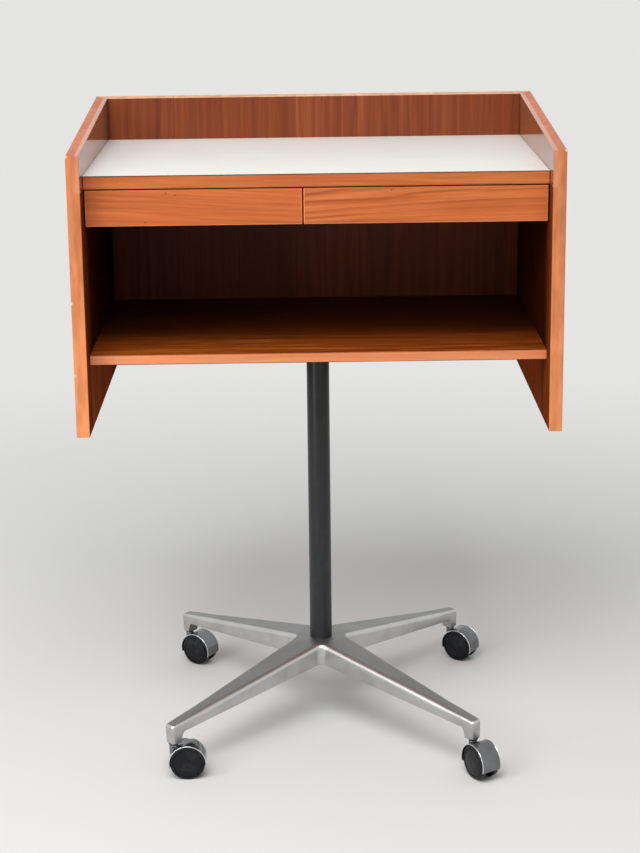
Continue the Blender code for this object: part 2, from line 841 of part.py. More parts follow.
def build_wheels(name, castor):
    """The axle and the two wheels that run on it."""
    across = (math.radians(90), 0.0, 0.0)
    middle = (TRAIL, 0.0, AXLE_LEVEL)
    add_part(
        f"{name}_axle", rod(AXLE_RADIUS, 2 * AXLE_HALF, AXLE_STEPS), STEEL, castor, middle, across
    )
    bore = AXLE_RADIUS + FIT
    bore_end = AXLE_HALF + FIT
    profile = [
        (0.0, WHEEL_FACE),
        (WHEEL_RADIUS / 2, WHEEL_FACE - WHEEL_DOME_DROP),
        (WHEEL_RADIUS - WHEEL_SHOULDER, WHEEL_OUTER),
        (WHEEL_RADIUS, WHEEL_OUTER - WHEEL_SHOULDER),
        (WHEEL_RADIUS, WHEEL_INNER + WHEEL_EDGE),
        (WHEEL_RADIUS - WHEEL_EDGE, WHEEL_INNER),
        (bore, WHEEL_INNER),
        (bore, bore_end),
        (0.0, bore_end),
    ]
    for hand, quarter in (("outer", 1), ("inner", -1)):
        add_turned(
            f"{name}_{hand}_wheel",
            profile,
            WHEEL_STEPS,
            BLACK_PLASTIC,
            castor,
            start_angle=math.pi / WHEEL_STEPS,
            location=middle,
            rotation=(math.radians(90 * quarter), 0.0, 0.0),
        )


def build_hood(name, castor):
    """The hood: a band over both wheels, the body between them and the boss for the stem."""
    upright = (math.radians(90), 0.0, 0.0)
    middle = (TRAIL, 0.0, AXLE_LEVEL)
    ends = (-HOOD_DROP, math.pi + HOOD_DROP)
    band = arc(HOOD_RADIUS, *ends, HOOD_STEPS) + arc(HOOD_RADIUS - HOOD_WALL, *ends[::-1], HOOD_STEPS)
    hood = add_part(f"{name}_hood", extruded(band, HOOD_WIDTH), CHROME, castor, middle, upright)
    body_outline = arc(HOOD_RADIUS - HOOD_WALL / 2, *ends, HOOD_STEPS)
    body = add_cutter(
        f"{name}_body", extruded(body_outline, BODY_WIDTH - 2 * FIT), castor, middle, upright
    )
    combine(hood, body, "UNION")
    boss_bottom = STEM_BOTTOM - HOOD_WALL
    boss_length = CASTOR_BOSS_TOP - boss_bottom
    boss = add_cutter(
        f"{name}_boss",
        rod(CASTOR_BOSS_RADIUS, boss_length, STEM_STEPS),
        castor,
        (0.0, 0.0, boss_bottom + boss_length / 2),
    )
    combine(hood, boss, "UNION")
    bore_length = CASTOR_BOSS_TOP - STEM_BOTTOM + OVERRUN
    stem_bore = add_cutter(
        f"{name}_stem_bore",
        rod(STEM_RADIUS + FIT, bore_length, STEM_STEPS),
        castor,
        (0.0, 0.0, STEM_BOTTOM - FIT + bore_length / 2),
    )
    combine(hood, stem_bore)
    axle_hole = add_cutter(
        f"{name}_axle_hole",
        rod(AXLE_RADIUS + FIT, BODY_WIDTH + OVERRUN, AXLE_STEPS),
        castor,
        middle,
        upright,
    )
    combine(hood, axle_hole)
    smooth(hood)


def build_stem(name, castor, place, base):
    """The stem that turns in its sleeve, and the sleeve in the leg's boss."""
    flange_top = BOSS_BOTTOM - FIT
    flange_bottom = flange_top - SLEEVE_FLANGE
    shoulder_top = flange_bottom - FIT
    shoulder_bottom = CASTOR_BOSS_TOP + FIT
    stem_top = BOSS_BOTTOM + STEM_GRIP
    add_turned(
        f"{name}_stem",
        [
            (0.0, stem_top),
            (STEM_RADIUS / 2, stem_top),
            (STEM_RADIUS, stem_top - STEM_RADIUS / 2),
            (STEM_RADIUS, shoulder_top),
            (SHOULDER_RADIUS, shoulder_top),
            (SHOULDER_RADIUS, shoulder_bottom),
            (STEM_RADIUS, shoulder_bottom),
            (STEM_RADIUS, STEM_BOTTOM),
            (0.0, STEM_BOTTOM),
        ],
        STEM_STEPS,
        STEEL,
        castor,
    )
    outer = sleeve_radius()
    inner = STEM_RADIUS + FIT
    sleeve_top = BOSS_BOTTOM + SLEEVE_DEPTH
    add_turned(
        f"{name}_socket_sleeve",
        [
            (outer, sleeve_top),
            (outer, flange_top),
            (SLEEVE_FLANGE_RADIUS, flange_top),
            (SLEEVE_FLANGE_RADIUS, flange_bottom),
            (inner, flange_bottom),
            (inner, sleeve_top),
        ],
        STEM_STEPS,
        BLACK_NYLON,
        place,
        closed=True,
    )
    socket_length = SLEEVE_DEPTH + FIT + OVERRUN
    socket = add_cutter(
        f"{name}_socket",
        rod(outer + FIT, socket_length, STEM_STEPS),
        place,
        (0.0, 0.0, sleeve_top + FIT - socket_length / 2),
    )
    combine(base, socket)


def build_castors(base, root):
    """Four castors, each turned about its stem as it stands at rest."""
    for name, (side, end, angle) in CASTORS.items():
        label = f"castor_{name}"
        spot = (side * STEM_SPREAD, end * STEM_SPREAD, 0.0)
        place = add_empty(f"{label}_place", root, spot)
        castor = add_empty(label, place, turn_about_z=angle)
        build_stem(label, castor, place, base)
        build_hood(label, castor)
        build_wheels(label, castor)


def castor_reach(angle):
    """How far a castor stands out along Y from the middle of its axle."""
    along = abs(math.cos(angle))
    around = abs(math.sin(angle))
    hood = HOOD_WIDTH / 2 * along + HOOD_RADIUS * around
    wheel = WHEEL_FACE * along + WHEEL_RADIUS * around
    return max(hood, wheel)


def column_offset():
    """Where the column stands in Y, so that the origin is under the middle of the whole."""
    ends = [-CASE_DEPTH / 2, CASE_DEPTH / 2]
    for _, end, angle in CASTORS.values():
        middle = end * STEM_SPREAD + TRAIL * math.sin(angle)
        ends += [middle - castor_reach(angle), middle + castor_reach(angle)]
    return -(min(ends) + max(ends)) / 2


def build_lectern():
    """Put the whole lectern together from the floor up."""
    root = add_empty("lectern", None, (0.0, column_offset(), 0.0))
    base = build_base(root)
    build_castors(base, root)
    smooth(base)
    build_column(root)
    case = add_empty("case", root, (0.0, 0.0, CASE_BOTTOM))
    sides = build_shell(case)
    build_top(sides, case)
    shelf = build_shelf(sides, case)
    build_plate(shelf, root)
    build_drawers(case)


build_lectern()
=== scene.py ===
"""Dress the lectern: wood, laminate and metal finishes, cast and turned pieces, light and camera.

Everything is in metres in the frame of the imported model: +Z up, the front towards -Y.
New pieces are surfaces worked out as whole numpy arrays, with their place in their mesh.
"""

from __future__ import annotations

import json
import logging
import math
from dataclasses import dataclass, replace
from enum import Enum
from typing import Any, Sequence, Union

import bmesh
import bpy
import numpy as np
from mathutils import Matrix, Vector

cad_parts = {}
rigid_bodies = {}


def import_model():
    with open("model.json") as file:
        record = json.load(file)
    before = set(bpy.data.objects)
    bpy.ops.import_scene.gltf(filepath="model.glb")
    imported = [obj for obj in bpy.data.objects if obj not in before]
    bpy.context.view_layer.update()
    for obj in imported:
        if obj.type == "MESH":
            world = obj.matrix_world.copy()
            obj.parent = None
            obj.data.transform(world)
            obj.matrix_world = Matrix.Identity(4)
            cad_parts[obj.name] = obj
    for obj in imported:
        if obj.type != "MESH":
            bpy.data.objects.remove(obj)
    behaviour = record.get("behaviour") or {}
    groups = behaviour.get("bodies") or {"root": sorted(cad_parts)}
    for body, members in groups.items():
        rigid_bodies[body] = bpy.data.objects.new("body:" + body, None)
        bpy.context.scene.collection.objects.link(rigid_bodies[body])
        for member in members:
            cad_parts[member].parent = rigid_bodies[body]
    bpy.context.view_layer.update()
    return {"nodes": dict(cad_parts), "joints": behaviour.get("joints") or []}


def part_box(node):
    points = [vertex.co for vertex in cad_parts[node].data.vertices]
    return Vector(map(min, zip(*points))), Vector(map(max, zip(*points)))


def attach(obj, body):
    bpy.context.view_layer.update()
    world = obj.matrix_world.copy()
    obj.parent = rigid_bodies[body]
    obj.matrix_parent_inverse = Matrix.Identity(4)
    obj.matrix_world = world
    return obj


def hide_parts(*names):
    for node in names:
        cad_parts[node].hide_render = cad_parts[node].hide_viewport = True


LOG = logging.getLogger("lectern")
HANDS = ("left", "right")
CORNERS = ("front_left", "front_right", "back_left", "back_right")
FULL_TURN = 2 * math.pi
QUARTER_TURN = math.pi / 2

Array = np.ndarray
Span = tuple[float, float]
Point = tuple[float, float, float]
Colour = tuple[float, float, float]
Tones = tuple[Colour, Colour, Colour]


def paint(*shade: int) -> Colour:
    """A display colour as the linear colour that shaders take.

    Args:
        shade: Red, green and blue, 0 to 255.

    Returns:
        The linear colour.
    """
    channels = np.array(shade) / 255.0
    curved = np.where(channels <= 0.04045, channels / 12.92, ((channels + 0.055) / 1.055) ** 2.4)
    return tuple(float(channel) for channel in curved)


def tones(*shades: tuple[int, int, int]) -> Tones:
    """A wood's dark, middle and light display colours as linear ones."""
    return tuple(paint(*shade) for shade in shades)


def shaded(colour: Colour, share: float) -> Colour:
    """A colour with each channel times a share."""
    return tuple(share * channel for channel in colour)


class Field:
    """A socket of a material that varies over the surface, with arithmetic that adds nodes."""

    def __init__(self, bench: Bench, socket: bpy.types.NodeSocket) -> None:
        """Wrap a socket of a bench's node tree."""
        self.bench = bench
        self.socket = socket

    def math(self, operation: str, *others: Value) -> Field:
        """The result of one Math node on this value and the given ones, in order."""
        return self.bench.node("ShaderNodeMath", dict(enumerate((self, *others))), operation=operation)

    def __add__(self, other: Value) -> Field:
        """This plus a value."""
        return self.math("ADD", other)

    __radd__ = __add__

    def __sub__(self, other: Value) -> Field:
        """This less a value."""
        return self.math("SUBTRACT", other)

    def __rsub__(self, other: Value) -> Field:
        """A value less this."""
        return self.math("MULTIPLY_ADD", -1.0, other)

    def __mul__(self, other: Value) -> Field:
        """This times a value."""
        return self.math("MULTIPLY", other)

    def __truediv__(self, other: Value) -> Field:
        """This over a value."""
        return self.math("DIVIDE", other)

    def band(self, low: float, high: float) -> Field:
        """A smooth step of this value.

        Args:
            low: Value at which the step starts; it may be above high for a falling step.
            high: Value at which it ends.

        Returns:
            0 before low, 1 after high, smooth between.
        """
        first, last = (0.0, 1.0) if low <= high else (1.0, 0.0)
        ends = {"From Min": min(low, high), "From Max": max(low, high), "To Min": first, "To Max": last}
        return self.bench.node("ShaderNodeMapRange", {"Value": self, **ends}, interpolation_type="SMOOTHSTEP")


Value = Union[Field, float, int, Sequence[float]]


class Bench:
    """A material or world being made: its node tree, its shader and its coordinates."""

    def __init__(
        self, holder: bpy.types.ID, shader: str = "Principled BSDF", coordinates: str = "Object"
    ) -> None:
        """Start from the nodes that Blender gives a new material or world.

        Args:
            holder: The new material or world.
            shader: Name of the shader node that it starts with.
            coordinates: Output of the Texture Coordinate node to use.
        """
        holder.use_nodes = True
        self.holder = holder
        self.tree = holder.node_tree
        self.shader = self.tree.nodes[shader]
        self.place = self.node("ShaderNodeTexCoord", output=coordinates)

    def node(
        self, kind: str, inputs: dict[Any, Value] | None = None, output: str | int = 0, **settings: Any
    ) -> Field:
        """Add any node: its settings first, then the values or links of its sockets.

        Args:
            kind: The node's type.
            inputs: Values or links, by socket name or number.
            output: The output to return, by name or number.
            settings: Attributes of the node.

        Returns:
            The wanted output.
        """
        node = self.tree.nodes.new(kind)
        for key, value in settings.items():
            setattr(node, key, value)
        for key, value in (inputs or {}).items():
            self.feed(node.inputs[key], value)
        return Field(self, node.outputs[output])

    def feed(self, socket: bpy.types.NodeSocket, value: Value) -> None:
        """Link a field to a socket, or set its plain value.

        Args:
            socket: The socket to feed.
            value: A field, a number, a vector or a colour.
        """
        if isinstance(value, Field):
            self.tree.links.new(value.socket, socket)
        elif isinstance(value, (int, float)):
            socket.default_value = value
        else:
            socket.default_value = (*value, 1.0)[: len(socket.default_value)]

    def set(self, **sockets: Value) -> None:
        """Feed the shader, with spaces in socket names written as underscores."""
        for name, value in sockets.items():
            self.feed(self.shader.inputs[name.replace("_", " ")], value)

    def axis(self, where: Value, name: str) -> Field:
        """One coordinate of a place or direction."""
        return self.node("ShaderNodeSeparateXYZ", {0: where}, name)

    def vector(self, operation: str, first: Value, second: Value) -> Field:
        """The number that one Vector Math node works out from two vectors."""
        return self.node("ShaderNodeVectorMath", {0: first, 1: second}, "Value", operation=operation)

    def noise(self, where: Value, scale: float = 1.0, detail: float = 2.0, rough: float = 0.5) -> Field:
        """Noise about 0.5 at a place: features per unit, octaves, and how strong the finer ones are."""
        inputs = {"Vector": where, "Scale": scale, "Detail": detail, "Roughness": rough}
        return self.node("ShaderNodeTexNoise", inputs, "Fac")

    def mix(self, share: Value, first: Value, second: Value) -> Field:
        """Two colours mixed, by the share of the second one."""
        return self.node("ShaderNodeMix", {0: share, 6: first, 7: second}, 2, data_type="RGBA")

    def ramp(self, value: Field, stops: Sequence[tuple[float, Colour]]) -> Field:
        """A colour ramp over a value.

        Args:
            value: The value.
            stops: Pairs of place and colour, from 0 to 1.

        Returns:
            The colour.
        """
        colour = self.node("ShaderNodeValToRGB", {0: value}, "Color")
        elements = colour.socket.node.color_ramp.elements
        while len(elements) < len(stops):
            elements.new(1.0)
        for element, (place, shade) in zip(elements, stops):
            element.position = place
            element.color = (*shade, 1.0)
        return colour

    def bump(self, height: Field, distance: float, strength: float) -> None:
        """Let a height from 0 to 1 disturb the normal: its depth in metres, and how much of it shows."""
        inputs = {"Height": height, "Distance": distance, "Strength": strength}
        self.set(Normal=self.node("ShaderNodeBump", inputs, "Normal"))


class Grain(Enum):
    """The way that a board's grain runs, and the two directions across it."""

    ACROSS_CASE = ("X", "Z", "Y")
    UPRIGHT = ("Z", "X", "Y")
    FRONT_TO_BACK = ("Y", "X", "Z")
    UPRIGHT_SIDE = ("Z", "Y", "X")


@dataclass(frozen=True)
class Pattern:
    """Noise drawn out along the grain.

    It has features per metre along and across the grain, octaves, the strength of the finer ones,
    a weight in the tone of the wood, and a shift along the grain for each unit of the wood's seed.
    """

    along: float
    across: float
    octaves: float
    rough: float
    weight: float = 1.0
    shift: float = 0.0


WANDER = Pattern(1.3, 9.0, 3.0, 0.55, shift=1.0)
PATCH = Pattern(0.65, 4.5, 2.0, 0.5, 0.6, 0.5)
BROAD = Pattern(2.2, 62.0, 3.0, 0.6, 0.62)
STREAK = Pattern(6.0, 260.0, 3.0, 0.6, 0.55)
HAIR = Pattern(42.0, 1350.0, 2.0, 0.6, 0.22)
SMEAR = Pattern(22.0, 70.0, 2.0, 0.5, 0.24)


@dataclass(frozen=True)
class Chip:
    """A small knocked spot where other wood shows."""

    place: Point
    size: float


@dataclass(frozen=True)
class EdgePlane:
    """A plane: wood beyond it is an edging strip with its own tone, darker towards a height."""

    normal: Point
    offset: float
    tone: Colour
    heights: Span = (0.0, 0.0)
    darkening: float = 0.0


@dataclass(frozen=True)
class PaintedShadeSpace:
    """The space between the side panels: darker below with painted shade, polished above the work surface."""

    half_width: float
    front: float
    deep: float
    back: float
    shelf: float
    surface: float
    skin: float = 0.0004
    fade: float = 0.001

    def short_of(self, value: Field, plane: float) -> Field:
        """1 short of the skin beyond a plane, 0 past it."""
        return value.band(plane + 2 * self.skin, plane + self.skin)

    def between(self, parts: dict[str, Field]) -> Field:
        """1 on faces that look into the space between the side panels, 0 on outer faces."""
        apart = parts["X"].math("ABSOLUTE")
        return self.short_of(apart, self.half_width) * self.short_of(parts["Y"], self.back)

    def painted_shade_share(self, parts: dict[str, Field]) -> Field:
        """How much painted shade the wood in the compartment takes.

        Args:
            parts: The place's coordinates, by axis.

        Returns:
            0 outside the compartment, rising to 1 from its front to its deep part.
        """
        inside = self.between(parts) * parts["Y"].band(self.front, self.deep)
        above = parts["Z"].band(self.shelf - 4 * self.fade, self.shelf - 3 * self.fade)
        return inside * above * parts["Z"].band(self.surface, self.surface - self.fade)

    def open_share(self, parts: dict[str, Field]) -> Field:
        """1 on the inner faces above the work surface, 0 elsewhere."""
        return self.between(parts) * parts["Z"].band(self.surface, self.surface + self.fade)


@dataclass(frozen=True)
class Wood:
    """Veneered or solid wood: its colours, its cut, its gloss and its wear."""

    name: str
    dark: Colour
    middle: Colour
    light: Colour
    grain: Grain
    seed: float
    slant: float = 0.03
    ring: float = 0.019
    ring_tilt: float = 0.05
    figure: float = 0.16
    fine: float = 1.0
    leaf: float = 0.0
    contrast: float = 1.0
    roughness: float = 0.45
    specular: float = 0.3
    coat: float = 0.0
    polish: float = 0.0
    # The space, its strength and the paling below: painted shade darkens the wood in the compartment, and the
    # inner faces above the work surface are made paler.
    shelter: PaintedShadeSpace | None = None
    dimness: float = 0.8
    sunned: float = 0.0
    edge_depth: float = 0.0007
    edges: tuple[EdgePlane, ...] = ()
    chips: tuple[Chip, ...] = ()
    chip_colour: Colour = paint(236, 190, 150)

    def make(self) -> bpy.types.Material:
        """Build the wood's material."""
        return WoodBench(self).finish()


class WoodBench(Bench):
    """A wood's material being made: its figure, and the colours over it.

    Rings are circles about a slightly tilted heart, so a flat board cuts them into long arches.
    Streaks and pores are noise drawn out along the grain, which runs at a slant to the board and
    wanders a little. Each leaf of a veneer is cut from its own place in the log.
    """

    seed_step = 0.731
    wander = 0.012
    ring_wobble = 0.05
    ring_drift = 2.0
    heart_depth = 0.05
    leaf_step = 0.37
    leaf_range = 0.26
    tone_stops = (0.14, 0.5, 0.86)
    patch_band = (0.36, 0.62)
    late_rise = (0.35, 0.95)
    late_end = (1.0, 0.95)
    pore_band = (0.60, 0.76)
    pore_share = 0.32
    joint_share = 0.6
    joint_shade = 0.4
    joint_band = (0.016, 0.0)
    joint_chance = (0.55, 0.9)
    deep_shade = 0.2
    edge_blur = 0.0002
    smear_band = (0.70, 0.30)
    wear_band = (0.80, 0.20)
    wear_share = 0.3
    chip_ragged = 520.0
    chip_core = 0.7
    streak_dulling = 0.16
    pore_dulling = 0.12
    coat_roughness = 0.10
    coat_index = 1.7
    streak_depth = 0.35
    hair_depth = 0.65
    pore_depth = 0.5
    relief = 0.00025
    bump_strength = 0.3

    def __init__(self, wood: Wood) -> None:
        """Work out the figure of a wood.

        Args:
            wood: The wood.
        """
        super().__init__(bpy.data.materials.new(wood.name))
        self.wood = wood
        self.parts = {axis: self.axis(self.place, axis) for axis in "XYZ"}
        self.along, self.across, self.deep = (self.parts[axis] for axis in wood.grain.value)
        leaf_tone = self.lay_leaves() if wood.leaf else 0.0
        across = self.across + wood.seed * self.seed_step + self.along * wood.slant
        warp = self.drawn_out(WANDER, across) - 0.5
        patch = self.drawn_out(PATCH, across)
        across = across + warp * self.wander
        ring = self.late_wood(across, warp) * patch.band(*self.patch_band)
        broad = self.drawn_out(BROAD, across)
        self.streak = self.drawn_out(STREAK, across)
        self.hair = self.drawn_out(HAIR, across)
        self.pore = self.hair.band(*self.pore_band)
        lines = (self.streak - 0.5) * STREAK.weight + (self.hair - 0.5) * HAIR.weight
        lift = (patch - 0.5) * PATCH.weight + (broad - 0.5) * BROAD.weight + lines * wood.fine
        self.tone = (lift - ring * wood.figure + leaf_tone) * wood.contrast + 0.5
        self.colour = self.ramp(self.tone, list(zip(self.tone_stops, (wood.dark, wood.middle, wood.light))))

    def lay_leaves(self) -> Field:
        """Cut the board into leaves of veneer, with a dark joint between some of them.

        Returns:
            How much lighter or darker each leaf is.
        """
        count = self.across / self.wood.leaf + self.wood.seed
        leaf = count.math("FLOOR")
        chance = self.node("ShaderNodeTexWhiteNoise", {"W": leaf}, "Value", noise_dimensions="1D")
        self.joint = (count - leaf).band(*self.joint_band) * chance.band(*self.joint_chance)
        self.across = self.across + leaf * self.leaf_step
        return (chance - 0.5) * self.leaf_range

    def late_wood(self, across: Field, warp: Field) -> Field:
        """The dark last part of each growth ring, by the distance from the heart of the log.

        Args:
            across: Place across the grain.
            warp: How the grain wanders, about 0.

        Returns:
            1 on late wood, 0 on early wood.
        """
        lateral = across + warp * self.ring_wobble
        heart = self.deep + self.heart_depth + self.along * self.wood.ring_tilt
        squares = lateral * lateral + heart * heart
        phase = squares.math("SQRT") / self.wood.ring + warp * self.ring_drift
        saw = phase.math("FRACT")
        return saw.band(*self.late_rise) * saw.band(*self.late_end)

    def drawn_out(self, pattern: Pattern, across: Field) -> Field:
        """The noise of a pattern.

        Args:
            pattern: The pattern.
            across: Place across the grain.

        Returns:
            The noise, about 0.5.
        """
        along = self.along.math("MULTIPLY_ADD", pattern.along, pattern.shift * self.wood.seed)
        inputs = {0: along, 1: across * pattern.across, 2: self.deep * pattern.across}
        return self.noise(self.node("ShaderNodeCombineXYZ", inputs), 1.0, pattern.octaves, pattern.rough)

    def lay(self, share: Field, colour: Value) -> None:
        """Lay a colour over the colours so far, by its share."""
        self.colour = self.mix(share, self.colour, colour)

    def finish(self) -> bpy.types.Material:
        """Lay edges, pores, joints, chips and painted shade over the figure, then set gloss and relief.

        Returns:
            The material.
        """
        wood = self.wood
        for edge in wood.edges:
            self.add_edge(edge)
        self.lay(self.pore * self.pore_share, wood.dark)
        if wood.leaf:
            self.lay(self.joint * self.joint_share, shaded(wood.dark, self.joint_shade))
        for chip in wood.chips:
            self.add_chip(chip)
        coat = self.add_shelter(wood.shelter) if wood.shelter else wood.coat
        dulling = (self.streak - 0.5) * self.streak_dulling + self.pore * self.pore_dulling
        self.set(
            Base_Color=self.colour,
            Roughness=wood.roughness + dulling,
            Specular_IOR_Level=wood.specular,
            Coat_Weight=coat,
            Coat_Roughness=self.coat_roughness,
            Coat_IOR=self.coat_index,
        )
        height = self.streak * self.streak_depth + self.hair * self.hair_depth - self.pore * self.pore_depth
        self.bump(height, self.relief, self.bump_strength)
        return self.holder

    def add_edge(self, edge: EdgePlane) -> None:
        """Give the wood beyond a plane the tone of its edging, rubbed here and there.

        Args:
            edge: The plane.
        """
        start = edge.offset - self.wood.edge_depth
        reach = self.vector("DOT_PRODUCT", self.place, edge.normal)
        smear = self.drawn_out(SMEAR, self.across).band(*self.smear_band)
        worn = self.tone.band(*self.wear_band) * self.wear_share + smear * SMEAR.weight
        # Darker towards the top of the front edges, by height alone.
        if edge.darkening:
            worn = worn + (self.parts["Z"].band(*edge.heights) - 0.5) * edge.darkening
        rubbed = self.mix(worn, edge.tone, self.wood.middle)
        self.lay(reach.band(start - self.edge_blur, start + self.edge_blur), rubbed)

    def add_chip(self, chip: Chip) -> None:
        """Show the chip colour within a chip's ragged edge.

        Args:
            chip: The chip.
        """
        ragged = (self.noise(self.place, self.chip_ragged) - 0.5) * chip.size
        distance = self.vector("DISTANCE", self.place, chip.place) + ragged
        self.lay(distance.band(chip.size, chip.size * self.chip_core), self.wood.chip_colour)

    def add_shelter(self, shelter: PaintedShadeSpace) -> Field:
        """Paint shade on the wood in the compartment, and make the inner faces above the work surface paler.

        Args:
            shelter: The space between the side panels, where shade is painted.

        Returns:
            The weight of the coat: the wood's own outside, and its polish on the inner faces.
        """
        wood = self.wood
        open_share = shelter.open_share(self.parts)
        # Painted shade: darker from the front of the compartment to its deep part.
        self.lay(shelter.painted_shade_share(self.parts) * wood.dimness, shaded(wood.dark, self.deep_shade))
        # Paler inner faces above the work surface: a mix towards the chip colour.
        self.lay(open_share * wood.sunned, wood.chip_colour)
        return (1.0 - shelter.between(self.parts)) * wood.coat + open_share * wood.polish


@dataclass(frozen=True)
class Laminate:
    """Warm white decorative laminate with its brown core showing at the cut edge."""

    name: str
    face: Colour
    core: Colour
    top: float
    skin: float = 0.0002
    mottled: float = 0.93
    patches: float = 6.0
    mottle_low: float = 0.35
    mottle_share: float = 0.5
    mottle_dulling: float = 0.12
    scuff_scale: Point = (4.0, 60.0, 1.0)
    scuff_band: Span = (0.62, 0.8)
    scuff_dulling: float = 0.14
    roughness: float = 0.30
    peel: float = 900.0
    peel_depth: float = 0.0001
    peel_strength: float = 0.18

    def make(self) -> bpy.types.Material:
        """Build the laminate's material: a faint mottle, a fine orange-peel and the brown core.

        Returns:
            The material.
        """
        bench = Bench(bpy.data.materials.new(self.name))
        mottle = bench.noise(bench.place, self.patches, 4.0, 0.6)
        long_place = bench.node("ShaderNodeMapping", {"Vector": bench.place, "Scale": self.scuff_scale})
        scuff = bench.noise(long_place, 1.0, 3.0).band(*self.scuff_band)
        share = (mottle - self.mottle_low) * self.mottle_share
        face = bench.mix(share, self.face, shaded(self.face, self.mottled))
        below = bench.axis(bench.place, "Z").band(self.top - self.skin, self.top - 2 * self.skin)
        bench.set(
            Base_Color=bench.mix(below, face, self.core),
            Roughness=self.roughness + (mottle - 0.5) * self.mottle_dulling + scuff * self.scuff_dulling,
        )
        bench.bump(bench.noise(bench.place, self.peel), self.peel_depth, self.peel_strength)
        return bench.holder


@dataclass(frozen=True)
class Coating:
    """Paint or moulded plastic: a plain colour with soft patches, a fine texture, scuffs and painted light.
    """

    name: str
    colour: Colour
    stain: Colour
    roughness: float
    texture: float
    grit: float
    stain_share: float = 0.5
    specular: float = 0.5
    metallic: float = 0.0
    scuff_and_painted_light: float = 0.0
    waviness: float = 0.0
    patches: float = 34.0
    patch_band: Span = (0.45, 0.8)
    patch_detail: float = 0.65
    texture_detail: float = 0.55
    patch_dulling: float = 0.2
    texture_dulling: float = 0.1
    bump_strength: float = 0.4
    top_band: Span = (0.86, 0.98)
    shoulder_band: Span = (0.02, 0.40)
    shoulder_end: Span = (0.98, 0.80)
    painted_highlight_share: float = 0.7
    dull_share: float = 0.55
    scuff_dulling: float = 0.12
    shine_gloss: float = 0.10

    def make(self) -> bpy.types.Material:
        """Build the material: patches stain it and dull its gloss, texture and waves are bump.

        Returns:
            The material.
        """
        bench = Bench(bpy.data.materials.new(self.name))
        patch = bench.noise(bench.place, self.patches, 4.0, self.patch_detail)
        speck = bench.noise(bench.place, self.texture, 2.0, self.texture_detail)
        colour = bench.mix(patch.band(*self.patch_band) * self.stain_share, self.colour, self.stain)
        rough = self.roughness + (patch - 0.5) * self.patch_dulling + (speck - 0.5) * self.texture_dulling
        if self.scuff_and_painted_light:
            colour, rough = self.paint_light_and_scuffs(bench, colour, rough)
        bench.set(Base_Color=colour, Roughness=rough)
        bench.set(Metallic=self.metallic, Specular_IOR_Level=self.specular)
        bench.bump(speck + patch * self.waviness, self.grit, self.bump_strength)
        return bench.holder

    def paint_light_and_scuffs(self, bench: Bench, colour: Field, rough: Field) -> tuple[Field, Field]:
        """Paint shade on the faces that look up and roughen them where shoes rest; paint shoulder highlights.

        Args:
            bench: The material being made.
            colour: The colour so far.
            rough: The roughness so far.

        Returns:
            The worn colour and roughness.
        """
        facing = bench.axis(bench.node("ShaderNodeNewGeometry", output="Normal"), "Z")
        # Top faces: darker colour as painted shade, rougher where shoes scuff them.
        scuff = facing.band(*self.top_band) * self.scuff_and_painted_light
        shoulder = facing.band(*self.shoulder_band) * facing.band(*self.shoulder_end)
        # Painted highlight along the shoulders.
        painted_highlight = shoulder * (self.painted_highlight_share * self.scuff_and_painted_light)
        top_shaded = bench.mix(scuff, colour, self.stain)
        highlight_colour = tuple(1.0 - self.dull_share * (1.0 - channel) for channel in self.colour)
        worn = rough + scuff * self.scuff_dulling - painted_highlight * self.shine_gloss
        return bench.mix(painted_highlight, top_shaded, highlight_colour), worn


@dataclass(frozen=True)
class Metal(Coating):
    """Bare or plated metal, with its own measures of patches and texture."""

    metallic: float = 1.0
    patches: float = 22.0
    patch_band: Span = (0.38, 0.78)
    patch_detail: float = 0.6
    texture_detail: float = 0.6
    patch_dulling: float = 0.22
    bump_strength: float = 0.5


class Surface:
    """A mesh put together from grids of points."""

    weld_distance = 0.000002
    least_edge = 0.000001

    def __init__(self) -> None:
        """Start with no points."""
        self.points: list[Array] = []
        self.faces: list[Array] = []
        self.count = 0

    def add(self, grid: Array, ring: bool = False) -> Surface:
        """Add a grid that is closed in its second direction, with a face between each four neighbours.

        Args:
            grid: Points, shaped (first, second, 3).
            ring: Whether it is closed in its first direction too.

        Returns:
            The surface itself, so that calls can be chained.
        """
        rows, columns = grid.shape[:2]
        index = np.arange(rows * columns).reshape(rows, columns) + self.count
        index = np.concatenate([index, index[:, :1]], axis=1)
        if ring:
            index = np.concatenate([index, index[:1]], axis=0)
        quads = np.stack([index[:-1, :-1], index[1:, :-1], index[1:, 1:], index[:-1, 1:]], axis=-1)
        self.points.append(grid.reshape(-1, 3))
        self.faces.append(quads.reshape(-1, 4))
        self.count += rows * columns
        return self

    def piece(
        self, name: str, material: bpy.types.Material, placing: Array, sharp: float = 38.0
    ) -> bpy.types.Object:
        """Make the object: points placed, doubles welded, faces outwards and shaded smooth.

        Args:
            name: The object's name.
            material: Its finish.
            placing: A 4 by 4 matrix that takes the points to their place.
            sharp: Edges above this angle, in degrees, stay sharp.

        Returns:
            The object, at the origin.
        """
        mesh = bpy.data.meshes.new(name)
        points = np.concatenate(self.points) @ placing[:3, :3].T + placing[:3, 3]
        mesh.from_pydata(points, [], np.concatenate(self.faces))
        shape = bmesh.new()
        shape.from_mesh(mesh)
        bmesh.ops.remove_doubles(shape, verts=shape.verts[:], dist=self.weld_distance)
        bmesh.ops.dissolve_degenerate(shape, edges=shape.edges[:], dist=self.least_edge)
        bmesh.ops.recalc_face_normals(shape, faces=shape.faces[:])
        shape.to_mesh(mesh)
        shape.free()
        mesh.materials.append(material)
        mesh.shade_smooth()
        mesh.set_sharp_from_angle(angle=math.radians(sharp))
        piece = bpy.data.objects.new(name, mesh)
        bpy.context.scene.collection.objects.link(piece)
        return piece


